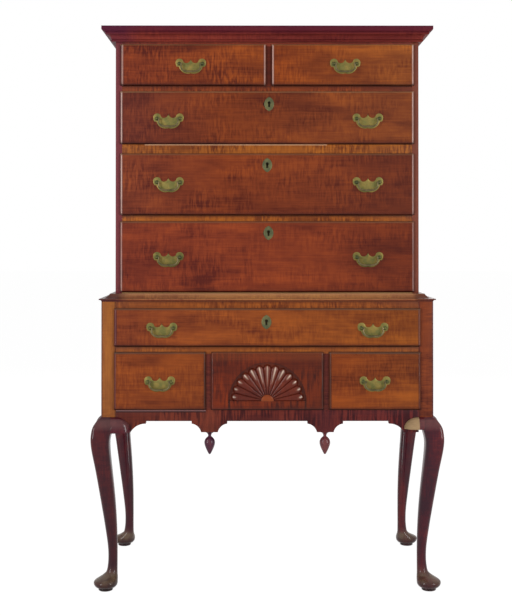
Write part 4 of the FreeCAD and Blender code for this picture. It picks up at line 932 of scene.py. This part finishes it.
# Painted shade along the foot of each drawer front.
FOOT_SHADE = [(0, "#260d0a", 0.9), (3.5, "#2c100c", 0.8), (6, "#4a1c14", 0.35), (14, "#4a1c14", 0.0)]
# Painted highlights along the top lips: a pale tan one, and a duller grey-brown sheen.
TAN_TOP_HIGHLIGHT, BROWN_TOP_SHEEN = lip_dirt_and_light("#a5805c", 2.5, 0.5), lip_dirt_and_light("#6e4a34", 4.5, 0.7)
# Tones from the left end to the right, how strong the curl is, and the left, right and top lips, which carry
# painted highlights and painted shade.
LOOKS = {
    "top_left": dict(tones=("#753018", "#793614"), curl=0.9, lips=(
        bright_lip(0.55, 5.2), bright_lip(0.55, 2.0), TAN_TOP_HIGHLIGHT)),
    "top_right": dict(tones=("#773311", "#82431c"), curl=0.6, lips=(
        bright_lip(0.62), bright_lip(0.7), TAN_TOP_HIGHLIGHT)),
    "second": dict(tones=("#5d261a", "#703013", "#6f3519"), curl=0.6, lips=(
        bright_lip(0.78), bright_lip(0.7), lip_dirt_and_light("#a5805c", 2.5, 0.6))),
    "third": dict(tones=("#70311c", "#723014", "#5d2614"), curl=0.6, lips=(
        bright_lip(0.75), bright_lip(0.5), BROWN_TOP_SHEEN)),
    "fourth": dict(tones=("#702c19", "#7a3219", "#622612"), curl=0.5, lips=(
        bright_lip(0.4), bright_lip(0.25), BROWN_TOP_SHEEN)),
    "lower_long": dict(tones=("#763519", "#89431a", "#7a3d14"), curl=0.35, lips=(
        lip_dirt_and_light("#51262a", 8), lip_dirt_and_light("#5c332a", 7), lip_dirt_and_light("#5c4030", 4.5))),
    "lower_left": dict(tones=("#7c3915", "#763614"), curl=0.35, lips=(
        lip_dirt_and_light("#562a28", 5), lip_dirt_and_light("#35201a", 4.5), lip_dirt_and_light("#523c30", 5))),
    # Above its carving this front is paler. The recess is darkened with painted shade, and lines run down
    # from its two corners. Each mark keeps below a level over the foot of the front; 1.0 is no limit.
    "lower_centre": dict(tones=("#611e05", "#501804"), curl=1.4, curl_length=60, coat=0.35, lips=(
        lip_dirt_and_light("#4a2a24", 2.5, 0.6), lip_dirt_and_light("#35201a", 3.5, 0.8), lip_dirt_and_light("#604436", 3, 0.7)), marks=[
            ("Z", 0.145, 0.178, [(0, "#7c3c1c", 0.0), (12, "#7c3c1c", 0.3), (33, "#7c3c1c", 0.4)], 1.0),
            ("Y", 0.003, 0.012, stripe("#2a120e", 0.4, 0, 2, 8, 9), 1.0),
            ("X", -0.121, -0.109, stripe("#24120f", 0.75, 0, 3, 6, 9), RECESS),
            ("X", 0.109, 0.121, stripe("#24120f", 0.6, 3, 6, 9, 12), RECESS)]),
    "lower_right": dict(tones=("#7b3712", "#7b3c15"), curl=0.35, lips=(
        lip_dirt_and_light("#40241c", 6), lip_dirt_and_light("#4c241d", 6), lip_dirt_and_light("#523c30", 5))),
}


class HIGHBOY_OT_drawer_fronts(bpy.types.Operator):
    """Polished drawer fronts"""
    bl_idname = "highboy.drawer_fronts"
    bl_label = "Drawer fronts"

    def execute(self, context):
        for number, name in enumerate(DRAWERS):
            refinish("drawer_front_" + name, drawer_maple(name, LOOKS[name], 71 + number))
        return {"FINISHED"}


class HIGHBOY_OT_fan(bpy.types.Operator):
    """Carved fan of the centre drawer: rounded lobes that spread from a half-round hub"""
    bl_idname = "highboy.fan"
    bl_label = "Carved fan"

    def execute(self, context):
        carving = context.scene.highboy_carving
        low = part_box("drawer_front_lower_centre")[0]
        base, floor = low.z + RECESS, low.y + 8 * MM
        fan_radius, first_radius, straight = 0.1095, 0.006, 0.7
        spread = math.pi / carving.lobes
        # The lobes are 6 % wider than their share, so that they meet over the floor.
        slope = math.tan(spread / 2) * 1.06
        reach = fan_radius / (1 + slope)
        end = reach * slope
        bm = bmesh.new()
        rub_and_highlight = bm.verts.layers.float.new("rub_and_highlight")
        for index in range(carving.lobes):
            made = bmesh.ops.create_grid(bm, x_segments=26, y_segments=12, size=1)["verts"]
            angle = spread * (index + 0.5)
            way = Vector((math.cos(angle), 0, math.sin(angle)))
            aside = Vector((-math.sin(angle), 0, math.cos(angle)))
            # Painted highlights run far down the crests of upright lobes, and sit at the tips of the others.
            streak = 0.11 + 0.40 * math.sin(angle) ** 6
            wear_and_highlight = (0.62 if angle > math.pi * 0.8 else 0.9) if index != carving.lobes // 2 else 0.55
            for vert in made:
                along = (vert.co.x + 1) / 2
                turn = vert.co.y * math.pi / 2
                crest = max(0.0, 1 - abs(turn) / 0.4) ** 2
                reached = max(0.0, 1 - abs(along - 0.8) / (streak if along < 0.8 else 0.12))
                vert[rub_and_highlight] = wear_and_highlight * crest * reached ** 0.7
                if along < straight:
                    radius = first_radius + (reach - first_radius) * along / straight
                    width = radius * slope
                    height = carving.lobe_height * (radius / reach) ** 0.62
                else:
                    swing = (along - straight) / (1 - straight) * math.pi / 2
                    radius = reach + end * math.sin(swing)
                    width = end * math.cos(swing)
                    height = carving.lobe_height * math.cos(swing)
                vert.co = (Vector((0, floor - height * math.cos(turn), base)) + way * radius
                           + aside * width * math.sin(turn))
            rim = [edge for edge in bm.edges if edge.is_boundary and edge.verts[0] in made]
            sunk = bmesh.ops.extrude_edge_only(bm, edges=rim)["geom"]
            bmesh.ops.translate(bm, vec=(0, 0.0008, 0), verts=only(sunk, VERT))
            bmesh.ops.holes_fill(bm, edges=only(sunk, EDGE), sides=0)
        # Painted shade in the valleys between the lobes, darkest at the floor of the fan.
        valley_shade = [(0, "#1c0907", 0.8), (1.2, "#1c0907", 0.6), (3.2, "#3a140e", 0.25), (4.6, "#3a140e", 0.0)]
        finish = curly_maple("fan_maple", "#5c1f10", "X", 80, 0.5, 30,
                             bands=[("Y", floor, floor - 7.8 * MM, valley_shade)], coat=0.38, gloss=0.08)
        # Near-white painted highlights along the crests of the lobes.
        paint_crest_highlights(finish, tone("#f2dcc6"), 0.9)
        piece("carved_fan", bm, "drawer_lower_centre", [finish], (), 50)
        bm = bmesh.new()
        turned(bm, [(0, -1), (19.4, -1), (19.4, 4.6), (18.6, 5.6), (17, 6.3), (11, 6.9), (0, 7.1)],
               (0, floor, base), (0, -1, 0), 48)
        cut_off(bm, (0, 0, base), (0, 0, -1))
        hub = curly_maple("hub_maple", "#8a421f", "X", 81, 0.5, 20)
        piece("fan_hub", bm, "drawer_lower_centre", [hub], (), 50)
        return {"FINISHED"}


class HIGHBOY_OT_drawer_boxes(bpy.types.Operator):
    """Unfinished sides, backs and bottoms of the drawers"""
    bl_idname = "highboy.drawer_boxes"
    bl_label = "Drawer boxes"

    def execute(self, context):
        pine = context.scene.highboy_colours.pine
        for number, name in enumerate(DRAWERS):
            refinish("drawer_box_" + name, planed_pine("drawer_pine_" + name, pine, "Y", 90 + number))
        return {"FINISHED"}


# ---- Brass -------------------------------------------------------------------------
def pull_places(name):
    """The body of each pull's bail on a drawer, and the middle of the axis that it swings on."""
    for ending in ("", "_left", "_right"):
        source = "bail_" + name + ending
        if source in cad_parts:
            low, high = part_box(source)
            eye = 2.46 * MM
            yield source, Vector(((low.x + high.x) / 2, (low.y + high.y) / 2, high.z - eye))


def backplate(bm, brass, centre):
    """Bat-wing plate with a filed edge; the centre is on its back."""
    half = [(0, 19.6)] + arc((0, 19.6), (5.2, 10.4), (16, 7.2), 8) + arc((16, 7.2), (22, 10.2), (25, 16.4), 6)
    half += arc((25, 16.4), (36.5, 21.0), (47, 9.4), 12) + [(46.4, 3.2), (43.9, -3.0), (40.2, -4.6)]
    half += [(36.4, -4.4)] + arc((36.4, -4.4), (26.4, -19.6), (0, -24), 16)
    plate = bm.faces.new([bm.verts.new(centre + Vector((x, 0, z)) * MM) for x, z in both_halves(half)])
    front = only(bmesh.ops.extrude_face_region(bm, geom=[plate])["geom"], FACET)[0]
    bmesh.ops.translate(bm, vec=(0, -brass.plate_thickness * 0.55, 0), verts=front.verts)
    front.normal_update()
    rise = math.copysign(brass.plate_thickness * 0.45, -front.normal.y)
    bmesh.ops.inset_region(bm, faces=[front], thickness=brass.plate_bevel, depth=rise, use_even_offset=True)


def escutcheon(bm, brass, centre):
    """Pointed oval plate with a keyhole through it."""
    outer = [(0, 18.3)] + arc((0, 18.3), (15, -3.7), (0, -25.7), 16)
    hole = [(4.7 * math.sin(a), 4.7 * math.cos(a)) for a in [math.radians(140.3) * k / 9 for k in range(10)]]
    hole += [(3.0, -5), (3.0, -7), (3.0, -9.6), (3.0, -12.8), (1.4, -12.8), (0, -12.8)]
    hole.insert(1, ((hole[0][0] + hole[1][0]) / 2, 4.66))

    def ring(half, depth, share=1.0):
        return [centre + Vector((x * share * MM, -depth, ((z + 3.7) * share - 3.7) * MM))
                for x, z in both_halves(half)]

    t = brass.plate_thickness
    lofted(bm, [ring(outer, 0), ring(outer, t * 0.5), ring(outer, t, 0.92), ring(hole, t), ring(hole, 0),
                ring(outer, 0)], closed=True)


class HIGHBOY_OT_brasses(bpy.types.Operator):
    """Backplates, posts, nuts, escutcheons and locks of the drawers"""
    bl_idname = "highboy.brasses"
    bl_label = "Brasses"

    def execute(self, context):
        brass = context.scene.highboy_brass
        colour = context.scene.highboy_colours.brass
        # The plates of the lower drawers are duller than those above.
        dullness = {"fourth": 0.76, "lower_long": 0.90, "lower_left": 0.90, "lower_right": 0.90}
        post_finish = old_brass("tarnished_post_brass", tone("#5e5c36"), tone("#454a32"), 0.52)
        key_finish = old_brass("tarnished_escutcheon_brass", tone("#686544"), tone("#4f523c"), 0.52)
        lock_finish = old_brass("lock_brass", tone("#5a4a2e"), tone("#3c3020"), 0.45)
        post = [(0, 0.4), (6.5, 0.4), (6.5, -0.4), (5.6, -1.0), (4.4, -1.7), (3.4, -2.4), (2.8, -3.2),
                (2.8, -4.6), (3.9, -5.7), (4.6, -7.4), (4.6, -9.2), (4.0, -11.2), (2.9, -12.4), (1.5, -13.0),
                (0, -13.1)]
        nut = [(0, -1), (3, -1), (3, 5), (2.6, 5.8), (0, 6.2)]
        for name in DRAWERS:
            source = "brasses_" + name
            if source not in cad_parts:
                continue
            share = dullness.get(name, 1.0)
            plate_finish = old_brass("tarnished_plate_brass_" + name, tinted(colour, share),
                                     tinted(tone("#6a663b"), share), 0.52)
            low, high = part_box("drawer_front_" + name)
            # The lock case is kept from the frame, and what lies before the front is made here.
            bm = boards_from(source, 0.0004, lambda *box: 2, lambda first, last: first.y > low.y + 0.004)
            for _, axis in pull_places(name):
                backplate(bm, brass, Vector((axis.x, low.y, axis.z - 5 * MM)))
                before = set(bm.faces)
                for side in (-1, 1):
                    x = axis.x + side * brass.post_spacing / 2
                    turned(bm, post, (x, low.y - brass.plate_thickness, axis.z), (0, 1, 0), 20)
                    turned(bm, nut, (x, high.y + 0.001, axis.z), (0, 1, 0), 16)
                mark_new(bm, before, 1)
            if "lock_bolt_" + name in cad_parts:
                first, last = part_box("lock_bolt_" + name)
                before = set(bm.faces)
                escutcheon(bm, brass, Vector(((first.x + last.x) / 2, low.y, high.z - KEY_DROPS[name] * MM)))
                mark_new(bm, before, 3)
            piece("brass_" + name, bm, "drawer_" + name,
                  [plate_finish, post_finish, lock_finish, key_finish], (source,), 35)
        return {"FINISHED"}


class HIGHBOY_OT_bails(bpy.types.Operator):
    """Swinging handles, thickest at the middle of the grip"""
    bl_idname = "highboy.bails"
    bl_label = "Bails"

    def execute(self, context):
        brass = context.scene.highboy_brass
        finish = old_brass("rubbed_bail_brass", tone("#75674c"), tone("#545039"), 0.42)
        # From an arm at 0 to the middle of the grip at 5: how far aside, and how far below the axis.
        arm, drop, steps = 28.0, -24.5, 40
        rows = [(0.0, arm, 0.0), (1.0, arm * 1.075, -8.4), (2.0, arm * 0.985, -16.9),
                (3.0, arm * 0.72, -22.6), (4.0, arm * 0.36, -24.4), (5.0, 0.0, drop)]
        pin = brass.post_spacing / MM / 2 + 3.6 - arm
        elbow = [(0, -2.4), (1.3, -2.0), (2.1, -1.1), (2.4, 0), (2.1, 1.1), (1.75, 1.7), (1.75, pin - 0.4),
                 (1.3, pin), (0, pin)]
        line = []
        for k in range(steps + 1):
            t = 10 * k / steps
            x, z = eased(rows, min(t, 10 - t))
            line.append((Vector((-x if t <= 5 else x, 0, z)), min(t, 10 - t)))
        line[steps // 2] = (Vector((0, 0, drop)), 5.0)
        turns = [2 * math.pi * n / 14 for n in range(14)]
        for name in DRAWERS:
            for source, axis in pull_places(name):
                outlines = []
                for k, (point, share) in enumerate(line):
                    way = (line[min(k + 1, steps)][0] - line[max(k - 1, 0)][0]).normalized()
                    normal = Vector((-way.z, 0, way.x))
                    radius = brass.bail_wire / MM / 2 + brass.bail_swell / MM / 2 * (share / 5) ** 2
                    radius *= 0.92 if share < 1 else 1
                    sides = [normal * math.cos(a) + Vector((0, 1, 0)) * math.sin(a) for a in turns]
                    outlines.append([axis + (point + side * radius) * MM for side in sides])
                bm = bmesh.new()
                lofted(bm, outlines)
                for side in (-1, 1):
                    turned(bm, elbow, axis + Vector((side * arm * MM, 0, 0)), (side, 0, 0), 14, (0, 0, 1))
                piece(source + "_handle", bm, source, [finish], (source,), 60)
        return {"FINISHED"}


class HIGHBOY_OT_lock_bolts(bpy.types.Operator):
    """Iron bolts of the four locks"""
    bl_idname = "highboy.lock_bolts"
    bl_label = "Lock bolts"

    def execute(self, context):
        iron = filed_iron("filed_iron")
        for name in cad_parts:
            if name.startswith("lock_bolt_"):
                bm = bmesh.new()
                block(bm, *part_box(name), 0.0005)
                piece(name + "_bar", bm, name, [iron], (name,))
        return {"FINISHED"}


# ---- Stage -------------------------------------------------------------------------
def seen_plainly(tree):
    """1 for what the camera, a reflection or a refraction sees, and 0 for what lights the object."""
    rays = node(tree, "LightPath").outputs
    seen = node(tree, "Math", {0: rays["Is Camera Ray"], 1: rays["Is Glossy Ray"]}, operation="MAXIMUM")
    return node(tree, "Math", {0: seen, 1: rays["Is Transmission Ray"]}, operation="MAXIMUM")


class HIGHBOY_OT_stage(bpy.types.Operator):
    """Pale floor, soft light and the camera"""
    bl_idname = "highboy.stage"
    bl_label = "Stage"

    def execute(self, context):
        scene = context.scene
        scene.view_settings.view_transform = "Standard"
        world = bpy.data.worlds.new("plain_room")
        scene.world = world
        world.use_nodes = True
        tree = world.node_tree
        tree.nodes.clear()
        room = node(tree, "Background", {"Color": (1, 1, 1, 1), "Strength": 0.25})
        white = node(tree, "Background", {"Color": (1, 1, 1, 1), "Strength": 1.0})
        both = node(tree, "MixShader", {0: seen_plainly(tree), 1: room, 2: white})
        node(tree, "OutputWorld", {"Surface": both})

        bm = bmesh.new()
        bmesh.ops.create_grid(bm, x_segments=8, y_segments=8, size=30)
        floor = add_object("floor", mesh_of("floor", bm))
        material = bpy.data.materials.new("painted_floor")
        material.use_nodes = True
        tree = material.node_tree
        tree.nodes.clear()
        # A little of the paint shows to the camera too, so that the floor keeps the shadow.
        share = node(tree, "Math", {0: seen_plainly(tree), 1: 0.86}, operation="MULTIPLY")
        paint = node(tree, "BsdfDiffuse", {"Color": (0.80, 0.80, 0.80, 1)})
        white = node(tree, "Emission", {"Color": (1, 1, 1, 1), "Strength": 1.12})
        both = node(tree, "MixShader", {0: share, 1: paint, 2: white})
        node(tree, "OutputMaterial", {"Surface": both})
        floor.data.materials.append(material)

        lamps = (
            ("left_light", (-2.7, -2.6, 1.45), (0.8, 2.5), 77),
            ("right_light", (2.7, -2.6, 1.45), (0.8, 2.5), 73),
            ("back_light", (0.5, 3.4, 3.0), (2.2, 2.2), 75),
        )
        for name, place, size, power in lamps:
            lamp = bpy.data.lights.new(name, "AREA")
            lamp.shape = "RECTANGLE"
            lamp.size, lamp.size_y = size
            lamp.energy = power
            turn = (Vector((0, 0, 1.0)) - Vector(place)).to_track_quat("-Z", "Y").to_euler()
            add_object(name, lamp, place, turn)

        view = bpy.data.cameras.new("camera")
        view.lens = 63.15
        view.sensor_width = 36
        view.shift_y = -0.13
        view.clip_end = 100
        scene.camera = add_object("camera", view, (-0.0432, -3.5608, 1.0812),
                                  (math.radians(90.449), 0, math.radians(-0.147)))
        return {"FINISHED"}


class HIGHBOY_PT_panel(bpy.types.Panel):
    """Pieces of the highboy"""
    bl_idname = "HIGHBOY_PT_panel"
    bl_label = "Highboy"
    bl_space_type = "VIEW_3D"
    bl_region_type = "UI"
    bl_category = "Highboy"

    def draw(self, context):
        layout = self.layout
        for group in SETTINGS:
            settings = getattr(context.scene, group)
            column = layout.box().column()
            for name in settings.__annotations__:
                column.prop(settings, name)
        for operator in OPERATORS:
            layout.operator(operator.bl_idname)


OPERATORS = (
    HIGHBOY_OT_stage, HIGHBOY_OT_legs, HIGHBOY_OT_knee_blocks, HIGHBOY_OT_pendants, HIGHBOY_OT_lower_case,
    HIGHBOY_OT_upper_case, HIGHBOY_OT_mouldings, HIGHBOY_OT_drawer_fronts, HIGHBOY_OT_fan,
    HIGHBOY_OT_drawer_boxes, HIGHBOY_OT_brasses, HIGHBOY_OT_bails, HIGHBOY_OT_lock_bolts,
)
SETTINGS = {
    "highboy_legs": HighboyLegs, "highboy_carving": HighboyCarving,
    "highboy_brass": HighboyBrass, "highboy_colours": HighboyColours,
}


def register():
    for group in (*SETTINGS.values(), *OPERATORS, HIGHBOY_PT_panel):
        bpy.utils.register_class(group)
    for name, group in SETTINGS.items():
        setattr(bpy.types.Scene, name, PointerProperty(type=group))


def unregister():
    for name in SETTINGS:
        delattr(bpy.types.Scene, name)
    for group in (HIGHBOY_PT_panel, *reversed(OPERATORS), *SETTINGS.values()):
        bpy.utils.unregister_class(group)


def main():
    register()
    for operator in OPERATORS:
        group, name = operator.bl_idname.split(".")
        getattr(getattr(bpy.ops, group), name)()


if __name__ == "__main__":
    main()
